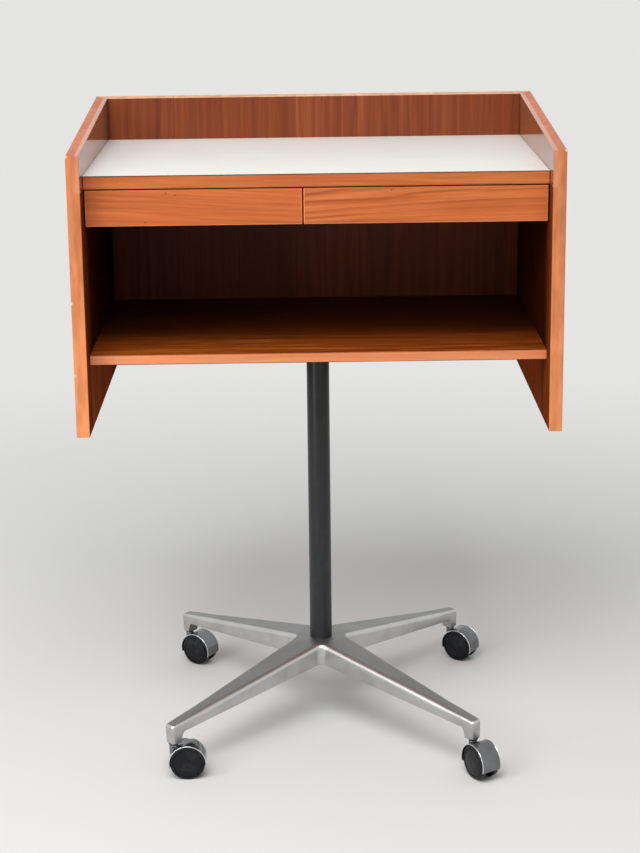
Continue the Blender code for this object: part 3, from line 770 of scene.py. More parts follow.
def show(piece: bpy.types.Object, body: str, slot: str, *nodes: str) -> None:
    """Put a piece on its body, hide the nodes it stands for, and log it.

    Args:
        piece: The finished piece.
        body: The body that it rides on.
        slot: The record's slot that its finish belongs to; not used.
        nodes: The nodes that it replaces.
    """
    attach(piece, body)
    if nodes:
        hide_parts(*nodes)
    LOG.info("%s rides on %s, %d faces", piece.name, body, len(piece.data.polygons))


def cover(node: bpy.types.Object, material: bpy.types.Material) -> None:
    """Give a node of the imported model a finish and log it.

    Args:
        node: The node.
        material: Its finish.
    """
    node.data.materials.clear()
    node.data.materials.append(material)
    LOG.info("%s keeps its shape and gets %s", node.name, material.name)


def half_width(node: str) -> float:
    """Half of a node's size along X."""
    low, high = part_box(node)
    return (high.x - low.x) / 2


def moved(place: Vector) -> Array:
    """The placing that moves a shape from the Z axis to a place in plan."""
    return np.array(Matrix.Translation((place.x, place.y, 0.0)))


def angles(steps: int) -> Array:
    """Evenly spaced angles of a full turn."""
    return np.arange(steps) * (FULL_TURN / steps)


def circle(angle: Array) -> Array:
    """Points of the unit circle at the given angles."""
    return np.stack([np.cos(angle), np.sin(angle)], axis=-1)


def raised(plan: Array, height: Array) -> Array:
    """Plan points with a height each."""
    return np.concatenate([plan, height[..., None]], axis=-1)


def smooth_step(value: Array, low: float, high: float) -> Array:
    """0 below low, 1 above high and a smooth rise between."""
    share = np.clip((value - low) / (high - low), 0.0, 1.0)
    return share * share * (3.0 - 2.0 * share)


def rod(radius: float, low: float, high: float) -> list[Span]:
    """The profile of a round rod, from the middle of its upper end to that of its lower one."""
    return [(0.0, high), (radius, high), (radius, low), (0.0, low)]


def tube(outer: float, inner: float, low: float, high: float) -> list[Span]:
    """The profile of a round tube, as (radius, height) corners."""
    return [(outer, high), (outer, low), (inner, low), (inner, high)]


def sweep(start: Array, stop: Array, steps: int) -> Array:
    """Points of the unit circle from one direction to another, the short way round.

    Args:
        start: The first direction.
        stop: The last direction.
        steps: Parts of the sweep.

    Returns:
        The points.
    """
    first = math.atan2(start[1], start[0])
    turn = (math.atan2(stop[1], stop[0]) - first + math.pi) % FULL_TURN - math.pi
    return circle(first + turn * np.linspace(0.0, 1.0, steps + 1))


def fillet(corners: Sequence[Span], radii: Sequence[float], steps: int, closed: bool = False) -> Array:
    """A line through corners, each rounded by an arc that touches both sides.

    Args:
        corners: The corner points.
        radii: A radius for each corner; 0 keeps it sharp.
        steps: Parts of each arc.
        closed: Whether the line joins up.

    Returns:
        The points of the rounded line, shaped (count, 2).
    """
    corner = np.asarray(corners, float)
    pieces: list[Array] = []
    for index, (here, radius) in enumerate(zip(corner, radii)):
        if radius == 0 or (not closed and index in (0, len(corner) - 1)):
            pieces.append(here[None])
            continue
        before = corner[index - 1] - here
        after = corner[(index + 1) % len(corner)] - here
        before /= np.linalg.norm(before)
        after /= np.linalg.norm(after)
        half = 0.5 * math.acos(float(np.clip(before @ after, -1.0, 1.0)))
        middle = here + (before + after) / np.linalg.norm(before + after) * radius / math.sin(half)
        start = here + before * radius / math.tan(half) - middle
        stop = here + after * radius / math.tan(half) - middle
        pieces.append(middle + radius * sweep(start, stop, steps))
    return np.concatenate(pieces)


def turned(profile: Sequence[Span] | Array, steps: int) -> Array:
    """A profile of (radius, height) points carried round the Z axis.

    Args:
        profile: The profile's points.
        steps: Parts of the full turn.

    Returns:
        A grid, closed in its second direction.
    """
    line = np.asarray(profile)
    plan = line[:, None, :1] * circle(angles(steps))
    return raised(plan, np.broadcast_to(line[:, 1:], plan.shape[:2]))


def lathe(profile: Sequence[Span] | Array, steps: int, ring: bool = False) -> Surface:
    """A turned surface, from a closed profile where it is a ring."""
    return Surface().add(turned(profile, steps), ring)


def outward(path: Array) -> Array:
    """The outward normals of a closed plan line that runs anticlockwise.

    Args:
        path: Points, shaped (count, 2).

    Returns:
        Unit normals: the two neighbouring sides' normals, averaged.
    """
    side = np.roll(path, -1, axis=0) - path
    side /= np.linalg.norm(side, axis=1, keepdims=True)
    both = side + np.roll(side, 1, axis=0)
    both /= np.linalg.norm(both, axis=1, keepdims=True)
    return np.stack([both[:, 1], -both[:, 0]], axis=1)


def slab(outline: Array, low: float, high: float, rounding: float) -> Array:
    """A plate: its outline carried round a profile that rounds both rims, closed at the middle.

    Args:
        outline: A convex plan line, anticlockwise.
        low: Lower face.
        high: Upper face.
        rounding: Radius of the rims.

    Returns:
        A grid, closed in its second direction.
    """
    angle = np.linspace(0.0, QUARTER_TURN, 4)
    inset = rounding * (1.0 - np.sin(angle))
    rise = rounding * (1.0 - np.cos(angle))
    insets = np.concatenate([inset, inset[::-1]])
    rings = outline - outward(outline) * insets[:, None, None]
    middle = np.broadcast_to(outline.mean(axis=0), (1, *outline.shape))
    plan = np.concatenate([middle, rings, middle])
    level = np.concatenate([[low], low + rise, (high - rise)[::-1], [high]])
    return raised(plan, np.broadcast_to(level[:, None], plan.shape[:2]))


@dataclass
class Finishes:
    """All finishes but the woods, made once and shared by the pieces, and the planes of the case."""

    case_low: Vector
    case_high: Vector
    surface_top: float
    front_height: float = 0.4075
    front_darkening: float = 0.26

    def __post_init__(self) -> None:
        """Make the laminate, metal, paint and plastic finishes."""
        white, brown = (0.89, 0.905, 0.86), paint(96, 56, 34)
        self.laminate = Laminate("white_laminate", white, brown, self.surface_top).make()
        # The cast base: painted shade on its tops and painted highlights on its shoulders.
        self.cast = Metal(
            "satin_cast_aluminium", (0.54, 0.54, 0.535), (0.24, 0.245, 0.25), 0.40, 700.0, 0.00014,
            stain_share=0.36, scuff_and_painted_light=0.72, waviness=14.0,
        ).make()
        self.chrome = Metal(
            "chrome_plate", (0.74, 0.75, 0.77), (0.56, 0.56, 0.58), 0.16, 500.0, 0.00003, stain_share=0.4
        ).make()
        # Hoods and bosses get a darkened chrome: a painted dark reflection on the same chrome plate as the
        # rims.
        self.shaded_chrome = Metal(
            "dull_chrome", (0.22, 0.225, 0.235), (0.08, 0.08, 0.085), 0.13, 500.0, 0.00004, stain_share=0.7
        ).make()
        self.dark_steel = Metal(
            "blackened_steel", (0.10, 0.10, 0.105), (0.05, 0.05, 0.05), 0.38, 900.0, 0.00006
        ).make()
        self.steel = Metal("zinc_steel", (0.45, 0.45, 0.46), (0.30, 0.29, 0.28), 0.36, 900.0, 0.00006).make()
        self.enamel = Coating(
            "black_enamel", (0.022, 0.023, 0.025), (0.046, 0.047, 0.049), 0.34, 420.0, 0.00003, specular=0.30
        ).make()
        self.plastic = Coating(
            "black_moulding", (0.005, 0.0055, 0.007), (0.034, 0.035, 0.038), 0.22, 800.0, 0.00004,
            specular=0.25, stain_share=0.9,
        ).make()
        self.nylon = Coating("black_nylon", (0.02, 0.02, 0.02), (0.05, 0.05, 0.05), 0.5, 800.0, 0.0001).make()

    def edge_planes(self, front_tone: Colour, top_tone: Colour) -> tuple[EdgePlane, EdgePlane]:
        """The planes of the case's front edges and of its sloping top edges.

        Args:
            front_tone: Colour of the front edges.
            top_tone: Colour of the sloping edges.

        Returns:
            The front plane and the top plane.
        """
        low, high = self.case_low, self.case_high
        heights = (low.z, low.z + self.front_height)
        front = EdgePlane((0.0, -1.0, 0.0), -low.y, front_tone, heights, self.front_darkening)
        slope = (high.z - low.z - self.front_height) / (high.y - low.y)
        size = math.hypot(1.0, slope)
        normal = (0.0, -slope / size, 1.0 / size)
        return front, EdgePlane(normal, normal[1] * high.y + normal[2] * high.z, top_tone)


@dataclass
class Case:
    """The open case: sides, back, top, shelf and the two drawers, dressed in wood and laminate."""

    finishes: Finishes
    nodes: dict[str, bpy.types.Object]
    fronts: Tones = tones((157, 74, 33), (203, 107, 54), (229, 143, 88))
    panels: Tones = tones((88, 38, 19), (136, 66, 33), (170, 95, 54))
    rail: Tones = tones((148, 72, 32), (193, 103, 51), (218, 136, 82))
    shelves: Tones = tones((97, 38, 8), (157, 72, 17), (192, 103, 38))
    plain: Tones = tones((120, 84, 52), (168, 124, 82), (196, 156, 112))
    backs: Tones = tones((78, 33, 17), (126, 60, 31), (160, 89, 52))
    pale: Tones = tones((206, 116, 70), (232, 145, 98), (250, 176, 132))
    edging: Colour = paint(251, 157, 101)
    top_edging: Colour = paint(216, 124, 82)
    # Pale top edge of the back panel: its edging tone, with a painted highlight in it.
    back_edging_and_highlight: Colour = paint(246, 190, 148)
    # Where the painted shade starts and is full, back from the case's front: on the shelf and back, and on
    # the sides.
    shelf_shade: Span = (0.01, 0.22)
    side_shade: Span = (-0.004, 0.09)
    top_thickness: float = 0.02
    fleck: float = 0.0012
    seed_step: float = 0.37

    def dress(self) -> None:
        """Give each board its own cut of wood, and the work surface its laminate."""
        front, top = self.finishes.edge_planes(self.edging, self.top_edging)
        shelter = self.shelter()
        self.dress_sides(shelter, (front, top))
        # Painted shade in the compartment: strong on the back, deepening towards the back of the shelf.
        self.board(
            "back_panel", self.backs, Grain.UPRIGHT, 8.3, slant=0.0, leaf=0.098, specular=0.2, contrast=0.7,
            shelter=shelter, dimness=0.25, edges=(replace(top, tone=self.back_edging_and_highlight),),
        )
        self.board(
            "lower_shelf", self.shelves, Grain.ACROSS_CASE, 9.6, figure=0.05, fine=2.2, specular=0.15,
            contrast=1.4, dimness=0.86, shelter=shelter,
        )
        self.board("top_front_lipping", self.rail, Grain.ACROSS_CASE, 6.2, slant=0.012, contrast=1.1)
        for hand, seed, slant, flecks in (
            ("left", 1.3, 0.05, ((0.375, 0.91), (0.416, 0.85), (0.276, 0.10))),
            ("right", 4.9, -0.045, ((0.36, 0.93),)),
        ):
            self.dress_drawer_front(f"{hand}_drawer_front", seed, slant, flecks)
        self.board("shelf_front_lipping", self.pale, Grain.ACROSS_CASE, 7.7, slant=0.01)
        self.dress_plain_boards()
        cover(self.nodes["work_surface_laminate"], self.finishes.laminate)

    def shelter(self) -> PaintedShadeSpace:
        """The space between the sides that takes painted shade, with the shade as it falls on the shelf.

        Returns:
            The space.
        """
        start, full = (self.finishes.case_low.y + depth for depth in self.shelf_shade)
        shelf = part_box("lower_shelf")[1]
        surface = self.finishes.surface_top - self.top_thickness
        return PaintedShadeSpace(shelf.x, start, full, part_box("back_panel")[0].y, shelf.z, surface)

    def dress_sides(self, shelter: PaintedShadeSpace, edges: tuple[EdgePlane, ...]) -> None:
        """Dress the side panels, knocked at the corners and here and there along the left front edge.

        Args:
            shelter: The space that takes painted shade.
            edges: The planes of the edging.
        """
        low, high = self.finishes.case_low, self.finishes.case_high
        start, full = (low.y + depth for depth in self.side_shade)
        corner = self.finishes.front_height
        for name, x, seed, knocks in (
            ("left_side_panel", low.x, 3.1, ((corner, 0.0042), (0.092, 0.0030), (0.198, 0.0034))),
            ("right_side_panel", high.x, 5.7, ((corner, 0.0038),)),
        ):
            chips = tuple(Chip((x, low.y, low.z + height), size) for height, size in knocks)
            # Painted shade darkens the sides in the compartment; above the work surface their inner faces are
            # paler.
            self.board(
                name, self.panels, Grain.UPRIGHT_SIDE, seed, slant=0.0, leaf=0.152, roughness=0.55,
                specular=0.0, coat=0.35, polish=1.0, shelter=replace(shelter, front=start, deep=full),
                dimness=0.88, sunned=0.1, edges=edges, chips=chips,
            )

    def dress_drawer_front(self, name: str, seed: float, slant: float, flecks: Sequence[Span]) -> None:
        """Dress a drawer front: rubbed pale along its lower arris and its ends, with dark flecks.

        Args:
            name: The front's node.
            seed: Which cut of wood.
            slant: Rise of the grain along the board.
            flecks: Places of the flecks, as shares of the width and the height.
        """
        low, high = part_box(name)
        wide, tall = high.x - low.x, high.z - low.z
        places = [(low.x + right * wide, low.y, low.z + up * tall) for right, up in flecks]
        arrises = (((0.0, 0.0, -1.0), -low.z), ((-1.0, 0.0, 0.0), -low.x), ((1.0, 0.0, 0.0), high.x))
        self.board(
            name, self.fronts, Grain.ACROSS_CASE, seed, slant=slant, ring=0.012, figure=0.27, contrast=1.15,
            edge_depth=0.0012, edges=tuple(EdgePlane(*arris, self.edging) for arris in arrises),
            chips=tuple(Chip(place, self.fleck) for place in places), chip_colour=self.panels[0],
        )

    def dress_plain_boards(self) -> None:
        """Dress the boards that are out of sight: the top board, the divider, runners and drawer boxes."""
        boards = {"top_board": Grain.ACROSS_CASE, "drawer_divider": Grain.FRONT_TO_BACK}
        for hand in HANDS:
            for part in ("left_runner", "right_runner", "left_side", "right_side"):
                boards[f"{hand}_drawer_{part}"] = Grain.FRONT_TO_BACK
            for part in ("back", "bottom"):
                boards[f"{hand}_drawer_{part}"] = Grain.ACROSS_CASE
        for name, grain in boards.items():
            self.board(name, self.plain, grain, self.seed_step * len(name), roughness=0.6)

    def board(self, name: str, colours: Tones, grain: Grain, seed: float, **cut: Any) -> None:
        """Cut a wood for a node and dress the node in it."""
        cover(self.nodes[name], Wood(name, *colours, grain, seed, **cut).make())


@dataclass
class Column:
    """The tube, its plate and collar under the shelf, the screws, and the bolt below the hub."""

    finishes: Finishes
    axis: Vector
    plug: bpy.types.Object
    steps: int = 72
    wall: float = 0.002
    tube_round: float = 0.0005
    collar_gap: float = 0.0003
    collar_wall: float = 0.0042
    collar_height: float = 0.022
    collar_sink: float = 0.001
    collar_rounds: tuple[float, ...] = (0.0, 0.0012, 0.0006, 0.0)
    plate_corner: float = 0.012
    plate_round: float = 0.0008
    weld: float = 0.0022
    weld_steps: int = 120
    ripple: float = 0.012
    ripple_steps: float = 5.0
    screw_head: float = 0.003
    screw_shank: float = 0.0025
    screw_steps: int = 36
    screw_dome: float = 0.62
    slot_side: Span = (0.00042, 0.00078)
    slot_end: Span = (0.86, 0.95)
    slot_depth: float = 0.0012
    bolt_head: float = 0.0064
    bolt_shank: float = 0.005
    washer_bore: float = 0.0053
    washer_round: float = 0.0004

    def build(self) -> None:
        """Build the tube, the plate, the screws, the bolt and the washer, and dress the plug."""
        self.build_tube()
        self.build_plate()
        for corner in CORNERS:
            self.build_screw(f"plate_screw_{corner}", f"screw_{corner}")
        self.build_bolt()
        self.build_washer()
        cover(self.plug, self.finishes.steel)

    def build_tube(self) -> None:
        """The tube: a rounded rectangle of wall carried round the axis."""
        low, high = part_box("column_tube")
        outer = half_width("column_tube")
        wall = tube(outer, outer - self.wall, low.z, high.z)
        surface = lathe(fillet(wall, [self.tube_round] * 4, 3, True), self.steps, True)
        piece = surface.piece("column", self.finishes.enamel, moved(self.axis))
        show(piece, "stand", "black_enamel", "column_tube")

    def build_plate(self) -> None:
        """The plate as a rounded slab, its collar, and the weld between them as a rippled bead."""
        low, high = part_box("column_mounting_plate")
        half = half_width("column_mounting_plate")
        corners = [(-half, -half), (half, -half), (half, half), (-half, half)]
        outline = fillet(corners, [self.plate_corner] * 4, 10, True)
        underside = low.z + self.collar_height
        inner = half_width("column_tube") + self.collar_gap
        outer = inner + self.collar_wall
        wall = tube(outer, inner, low.z, underside + self.collar_sink)
        collar = turned(fillet(wall, self.collar_rounds, 4, True), self.steps)
        weld = turned(np.array([outer, underside]) + self.weld * circle(angles(12)), self.weld_steps)
        wave = np.sin(np.arange(self.weld_steps) * (FULL_TURN / self.ripple_steps))
        weld[..., :2] *= 1.0 + self.ripple * wave[:, None]
        plate = slab(outline, underside, high.z, self.plate_round)
        surface = Surface().add(plate).add(collar, True).add(weld, True)
        piece = surface.piece("column_plate", self.finishes.enamel, moved(self.axis))
        show(piece, "stand", "black_enamel", "column_mounting_plate")

    def build_screw(self, node: str, name: str) -> None:
        """A pan-head screw, its slot a dip in a height worked out over radius and angle.

        Args:
            node: The screw's node.
            name: The piece's name.
        """
        low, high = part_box(node)
        head = half_width(node)
        radius = np.linspace(0.0, 1.0, 15)[:, None] ** 0.8
        plan = head * radius[..., None] * circle(angles(self.screw_steps))
        dome = low.z + self.screw_head * self.screw_dome * radius**4
        slot = 1.0 - smooth_step(np.abs(plan[..., 1]), *self.slot_side)
        inside = 1.0 - smooth_step(np.linalg.norm(plan, axis=-1) / head, *self.slot_end)
        face = raised(plan, dome + self.slot_depth * slot * inside)
        rim = face[-1:].copy()
        top = low.z + self.screw_head
        rim[..., 2] = top
        thick = self.screw_shank
        shank = turned([(head, top), (thick, top), (thick, high.z - thick), (0.0, high.z)], self.screw_steps)
        surface = Surface().add(np.concatenate([face, rim])).add(shank)
        piece = surface.piece(name, self.finishes.steel, moved((low + high) / 2))
        show(piece, "stand", "steel", node)

    def build_bolt(self) -> None:
        """The bolt's six-sided head, its flats worked out from the angle, and its shank."""
        low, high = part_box("hub_bolt")
        flat = half_width("hub_bolt")
        angle = angles(self.steps)
        sector = (angle + math.pi / 6) % (math.pi / 3) - math.pi / 6
        chamfer = np.array([(0.0, 0.0), (0.72, 0.0), (0.93, 0.0006)])
        barrel = np.array([(1.0, 0.0014), (1.0, self.bolt_head), (0.0, self.bolt_head)])
        rounded = chamfer[:, :1] * np.full_like(angle, flat)
        spread = np.concatenate([rounded, barrel[:, :1] * flat / np.cos(sector)])
        level = low.z + np.concatenate([chamfer, barrel])[:, 1:]
        head = raised(spread[..., None] * circle(angle), np.broadcast_to(level, spread.shape))
        shank = turned(rod(self.bolt_shank, low.z + 0.9 * self.bolt_head, high.z), 36)
        piece = Surface().add(head).add(shank).piece("base_bolt", self.finishes.steel, moved(self.axis))
        show(piece, "stand", "steel", "hub_bolt")

    def build_washer(self) -> None:
        """The washer under the hub: a flat ring with broken edges, turned."""
        low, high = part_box("hub_washer")
        ring = tube(half_width("hub_washer"), self.washer_bore, low.z, high.z)
        surface = lathe(fillet(ring, [self.washer_round] * 4, 2, True), 48, True)
        piece = surface.piece("base_washer", self.finishes.steel, moved(self.axis))
        show(piece, "stand", "steel", "hub_washer")


@dataclass
class StarBase:
    """The cast base: a section carried round the outline of four tapering legs."""

    finishes: Finishes
    axis: Vector
    reach: float = 0.3265
    root_half: float = 0.030
    tip_half: float = 0.0095
    tip_round: float = 0.005
    crotch_round: float = 0.012
    crotch_ease: float = 0.018
    hub_flat: float = 0.032
    hub_ease: float = 0.004
    hub_height: float = 0.034
    leg_fall: float = 0.048
    tip_depth: float = 0.017
    boss_length: float = 0.017
    boss_fillet: float = 0.007
    shoulder: float = 0.0075
    tip_shoulder: float = 0.0044
    shoulder_ease: float = 0.05
    lower_round: float = 0.0015
    draft: float = 0.0006
    wall: float = 0.004
    roof: float = 0.006
    core_start: float = 0.050
    core_ease: float = 0.006
    core_end: float = 0.002
    sharp: float = 50.0

    def __post_init__(self) -> None:
        """Work out heights, the boss, the slope, and the outline with its places along the legs."""
        low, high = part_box("star_base")
        self.foot = low.z
        self.hub_top = high.z
        self.boss = self.reach - self.boss_length
        self.slope = self.leg_fall / (self.reach - self.hub_flat)
        half = self.half_side()
        leg = np.concatenate([half[:-1] * np.array([1.0, -1.0]), half[::-1][:-1]])
        direction = circle(math.pi / 4 + angles(4))
        across = circle(math.pi / 4 + QUARTER_TURN + angles(4))
        plan = leg[:, :1] * direction[:, None] + leg[:, 1:] * across[:, None]
        self.plan = plan.reshape(-1, 2)
        self.along = np.tile(leg[:, 0], 4)
        self.heading = np.repeat(direction, len(leg), axis=0)

    def build(self) -> None:
        """Carry the section round the outline: roof, shoulder, side, rim and hollow underside."""
        plan, normal = self.plan, outward(self.plan)
        spine = self.spine()
        below = self.lower_edge()
        near_tip = smooth_step(self.along, self.boss - self.shoulder_ease, self.boss)
        rounding = self.shoulder + (self.tip_shoulder - self.shoulder) * near_tip
        lip = plan - normal * rounding[:, None]
        edge = self.top(lip)
        rows: list[Array] = []
        for share in np.linspace(0.0, 1.0, 7) ** 0.8:
            at = spine + (lip - spine) * share
            rows.append(raised(at, self.top(at)))
        for angle in np.linspace(0.0, QUARTER_TURN, 6)[1:]:
            inset = rounding * (1.0 - math.sin(angle))
            rows.append(raised(plan - normal * inset[:, None], edge - rounding * (1.0 - math.cos(angle))))
        for angle in np.linspace(QUARTER_TURN, 0.0, 4):
            inset = self.draft + self.lower_round * (1.0 - math.sin(angle))
            rows.append(raised(plan - normal * inset, below + self.lower_round * (1.0 - math.cos(angle))))
        rim = plan - normal * self.wall
        rows.append(raised(rim, below))
        for share in (0.06, 0.5, 1.0):
            at = rim + (spine - rim) * share
            rows.append(raised(at, below + (self.top(at) - self.roof - below) * self.hollow()))
        surface = Surface().add(np.stack(rows))
        piece = surface.piece("cast_base", self.finishes.cast, moved(self.axis), self.sharp)
        show(piece, "stand", "cast_aluminium", "star_base")

    def half_side(self) -> Array:
        """One side of one leg in plan, from the middle of the crotch to the middle of the tip.

        The side is a straight taper. An arc rounds it into the next leg and a small one turns
        it into the end.

        Returns:
            Points as (along the leg, across it).
        """
        taper = (self.root_half - self.tip_half) / self.reach
        side = np.array([1.0, -taper]) / math.hypot(1.0, taper)
        bisector = np.array([1.0, 1.0]) / math.sqrt(2.0)
        corner = bisector * (self.root_half * math.sqrt(2.0) / (1.0 + taper))
        half = math.acos(float(side @ bisector))
        centre = corner + bisector * self.crotch_round / math.sin(half)
        touch = corner + side * self.crotch_round / math.tan(half)
        arc = centre + self.crotch_round * sweep(-bisector, touch - centre, 8)
        turn = self.boss - self.boss_fillet * np.cos(np.linspace(0.0, QUARTER_TURN, 12))
        before = np.linspace(touch[0], self.boss - self.boss_fillet, 28)[1:-1]
        after = np.linspace(self.boss, self.reach - 2 * self.tip_round, 5)[1:]
        along = np.concatenate([before, turn, after])
        straight = np.stack([along, self.root_half - taper * along], axis=1)
        corners = [tuple(straight[-1]), (self.reach, self.tip_half), (self.reach, 0.0)]
        end = fillet(corners, [0.0, self.tip_round, 0.0], 7)
        return np.concatenate([arc, straight[:-1], end[1:]])

    def spine(self) -> Array:
        """The middle line of the legs: each outline point's partner, drawn to the axis at the crotch.

        Returns:
            Points in plan.
        """
        crotch = self.along.min()
        inner = self.along - crotch * np.exp(-(self.along - crotch) / self.crotch_ease)
        return self.heading * np.clip(inner, 0.0, self.reach - self.tip_half)[:, None]

    def top(self, plan: Array) -> Array:
        """Height of the roof over a plan point: flat at the hub, then falling along each leg.

        Args:
            plan: Points in plan.

        Returns:
            The heights.
        """
        distance = np.abs(plan).sum(axis=-1) / math.sqrt(2.0) - self.hub_flat
        eased = 0.5 * (distance + np.sqrt(distance**2 + self.hub_ease**2))
        return self.hub_top - eased * self.slope

    def lower_edge(self) -> Array:
        """Height of a side's lower edge: straight along the leg, then turned down to the boss by an arc.

        Returns:
            The heights.
        """
        length = self.boss - self.hub_flat
        start = self.hub_top - self.hub_height
        stop = self.hub_top - self.slope * length - self.tip_depth
        straight = start + (stop - start) * np.clip((self.along - self.hub_flat) / length, 0.0, 1.0)
        turn = np.clip((self.along - self.boss + self.boss_fillet) / self.boss_fillet, 0.0, 1.0)
        return straight + (self.foot - straight) * (1.0 - np.sqrt(1.0 - turn**2))

    def hollow(self) -> Array:
        """1 where the underside of a leg is cored, 0 at the hub and at the boss.

        Returns:
            The shares.
        """
        end = self.boss - self.wall - self.core_end
        begun = smooth_step(self.along, self.core_start, self.core_start + self.core_ease)
        return begun * (1.0 - smooth_step(self.along, end - self.core_ease, end))


@dataclass
class Castor:
    """One castor: sleeve, stem, chrome hood with its body, axle and two wheels."""

    finishes: Finishes
    name: str
    joints: dict[str, dict[str, Any]]
    steps: int = 64
    wheel_radius: float = 0.0264
    wheel_inner: float = 0.0073
    wheel_outer: float = 0.0145
    wheel_bore: float = 0.0033
    wheel_rounds: tuple[float, ...] = (0.0, 0.0004, 0.0019, 0.0012, 0.0003, 0.0002, 0.0)
    wheel_steps: int = 96
    wheel_sharp: float = 44.0
    cover_margin: float = 0.006
    cover_rise: float = 0.001504
    cover_sink: float = 0.0001
    groove: Span = (0.0003, 0.0011)
    groove_depth: float = 0.0008
    ring: Span = (0.0014, 0.0028)
    ring_rise: float = 0.0002
    tread_fall: float = 0.0004
    hood_gap: float = 0.0008
    hood_wall: float = 0.0012
    hood_half: float = 0.0165
    hood_drop: float = math.radians(15)
    hood_steps: int = 72
    hood_crown: float = 0.0004
    hood_sharp: float = 42.0
    rim: float = 0.0007
    body_half: float = 0.0064
    body_round: float = 0.0012
    trail: float = 0.0208
    stem_radius: float = 0.004
    tip_round: float = 0.0015
    foot_round: float = 0.0006
    collar_radius: float = 0.007
    collar_round: float = 0.0008
    fit: float = 0.0003
    broken: float = 0.0003
    boss_radius: float = 0.0065
    boss_step: float = 0.0025
    boss_depth: float = 0.0172
    boss_rounds: tuple[float, ...] = (0.0, 0.0012, 0.001, 0.0)
    sleeve_outer: float = 0.0067
    sleeve_bore: float = 0.0043
    flange: float = 0.0008
    axle_radius: float = 0.003
    axle_half: float = 0.0126
    axle_rounds: tuple[float, ...] = (0.0, 0.0004, 0.0004, 0.0)

    def __post_init__(self) -> None:
        """Work out the castor's own axes: X trails, Y lies along the axle, Z is up."""
        spin = self.joints[f"{self.name}_outer_wheel_spin"]
        axle = Vector(spin["axis"])
        level = spin["pos_m"][2]
        self.placing = np.eye(4)
        self.placing[:3, 0] = axle.cross(Vector((0.0, 0.0, 1.0)))
        self.placing[:3, 1] = axle
        self.placing[:2, 3] = self.joints[f"{self.name}_swivel"]["pos_m"][:2]
        on_axle = Matrix.Translation((self.trail, 0.0, level)) @ Matrix.Rotation(QUARTER_TURN, 4, "X")
        self.upright = self.placing @ np.array(on_axle)
        self.hood_radius = self.wheel_radius + self.hood_gap + self.hood_wall
        self.hood_top = level + self.hood_radius
        self.arc = circle(np.linspace(-self.hood_drop, math.pi + self.hood_drop, self.hood_steps + 1))

    def build(self) -> None:
        """Build the castor from the sleeve down."""
        self.build_sleeve()
        self.build_stem()
        self.build_hood()
        self.build_rims()
        self.build_boss()
        self.build_axle()
        for hand, flip in (("outer", 1.0), ("inner", -1.0)):
            self.build_wheel(f"{self.name}_{hand}_wheel", flip)

    def build_sleeve(self) -> None:
        """The sleeve in the leg: a flanged tube, turned."""
        node = f"{self.name}_socket_sleeve"
        low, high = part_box(node)
        outer, rim, bore = self.sleeve_outer, half_width(node), self.sleeve_bore
        step = low.z + self.flange
        wall = [(outer, high.z), (outer, step), (rim, step), (rim, low.z), (bore, low.z), (bore, high.z)]
        surface = lathe(fillet(wall, [self.broken] * 6, 2, True), self.steps, True)
        piece = surface.piece(f"{self.name}_sleeve", self.finishes.nylon, self.placing)
        show(piece, "stand", "black_nylon", node)

    def build_stem(self) -> None:
        """The stem with the collar that carries the leg, turned."""
        node = f"{self.name}_stem"
        low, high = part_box(node)
        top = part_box(f"{self.name}_socket_sleeve")[0].z - self.fit
        under = self.hood_top - self.boss_step + self.fit
        stem, collar = self.stem_radius, self.collar_radius
        line = [
            (0.0, high.z), (stem, high.z), (stem, top), (collar, top),
            (collar, under), (stem, under), (stem, low.z), (0.0, low.z),
        ]
        rounded = min(self.collar_round, 0.45 * (top - under))
        radii = [0.0, self.tip_round, self.broken, rounded, rounded, self.broken, self.foot_round, 0.0]
        surface = lathe(fillet(line, radii, 4), self.steps)
        piece = surface.piece(f"{self.name}_pin", self.finishes.dark_steel, self.placing)
        show(piece, self.name, "steel", node)

    def arched(self, section: Array) -> Array:
        """A closed section carried over the wheels in an arc, its two ends closed to a point.

        Args:
            section: Points as (radius from the axle, place along it).

        Returns:
            A grid, closed in its second direction.
        """
        turn = np.concatenate([self.arc[:1], self.arc, self.arc[-1:]])
        strip = np.repeat(section[None], len(turn), axis=0)
        strip[[0, -1]] = section.mean(axis=0)
        return raised(strip[..., :1] * turn[:, None], strip[..., 1])

    def build_hood(self) -> None:
        """The hood: a crowned strip carried over the wheels, and the body below it."""
        across = np.linspace(-1.0, 1.0, 25)
        width = (self.hood_half - self.rim) * across
        crown = np.stack([self.hood_radius - self.hood_crown * (1.0 + across**2), width], axis=1)
        under = np.stack([np.full_like(across, self.hood_radius - self.hood_wall), width], axis=1)
        bow = self.arc * (self.hood_radius - self.hood_wall / 2)
        body = slab(bow, -self.body_half, self.body_half, self.body_round)
        surface = Surface().add(self.arched(np.concatenate([crown, under[::-1]]))).add(body)
        piece = surface.piece(f"{self.name}_cover", self.finishes.shaded_chrome, self.upright, self.hood_sharp)
        show(piece, self.name, "chrome_hood", f"{self.name}_hood")

    def build_rims(self) -> None:
        """The hood's two rolled rims: a small round section carried over the wheels."""
        surface = Surface()
        for side in (-1.0, 1.0):
            middle = np.array([self.hood_radius - self.rim, side * (self.hood_half - self.rim)])
            surface.add(self.arched(middle + self.rim * circle(angles(12))))
        piece = surface.piece(f"{self.name}_rims", self.finishes.chrome, self.upright)
        show(piece, self.name, "chrome_hood")

    def build_boss(self) -> None:
        """The boss of the hood that holds the stem: a short rod with broken ends."""
        line = rod(self.boss_radius, self.hood_top - self.boss_depth, self.hood_top - self.boss_step)
        surface = lathe(fillet(line, self.boss_rounds, 4), self.steps)
        piece = surface.piece(f"{self.name}_boss", self.finishes.shaded_chrome, self.placing)
        show(piece, self.name, "chrome_hood")

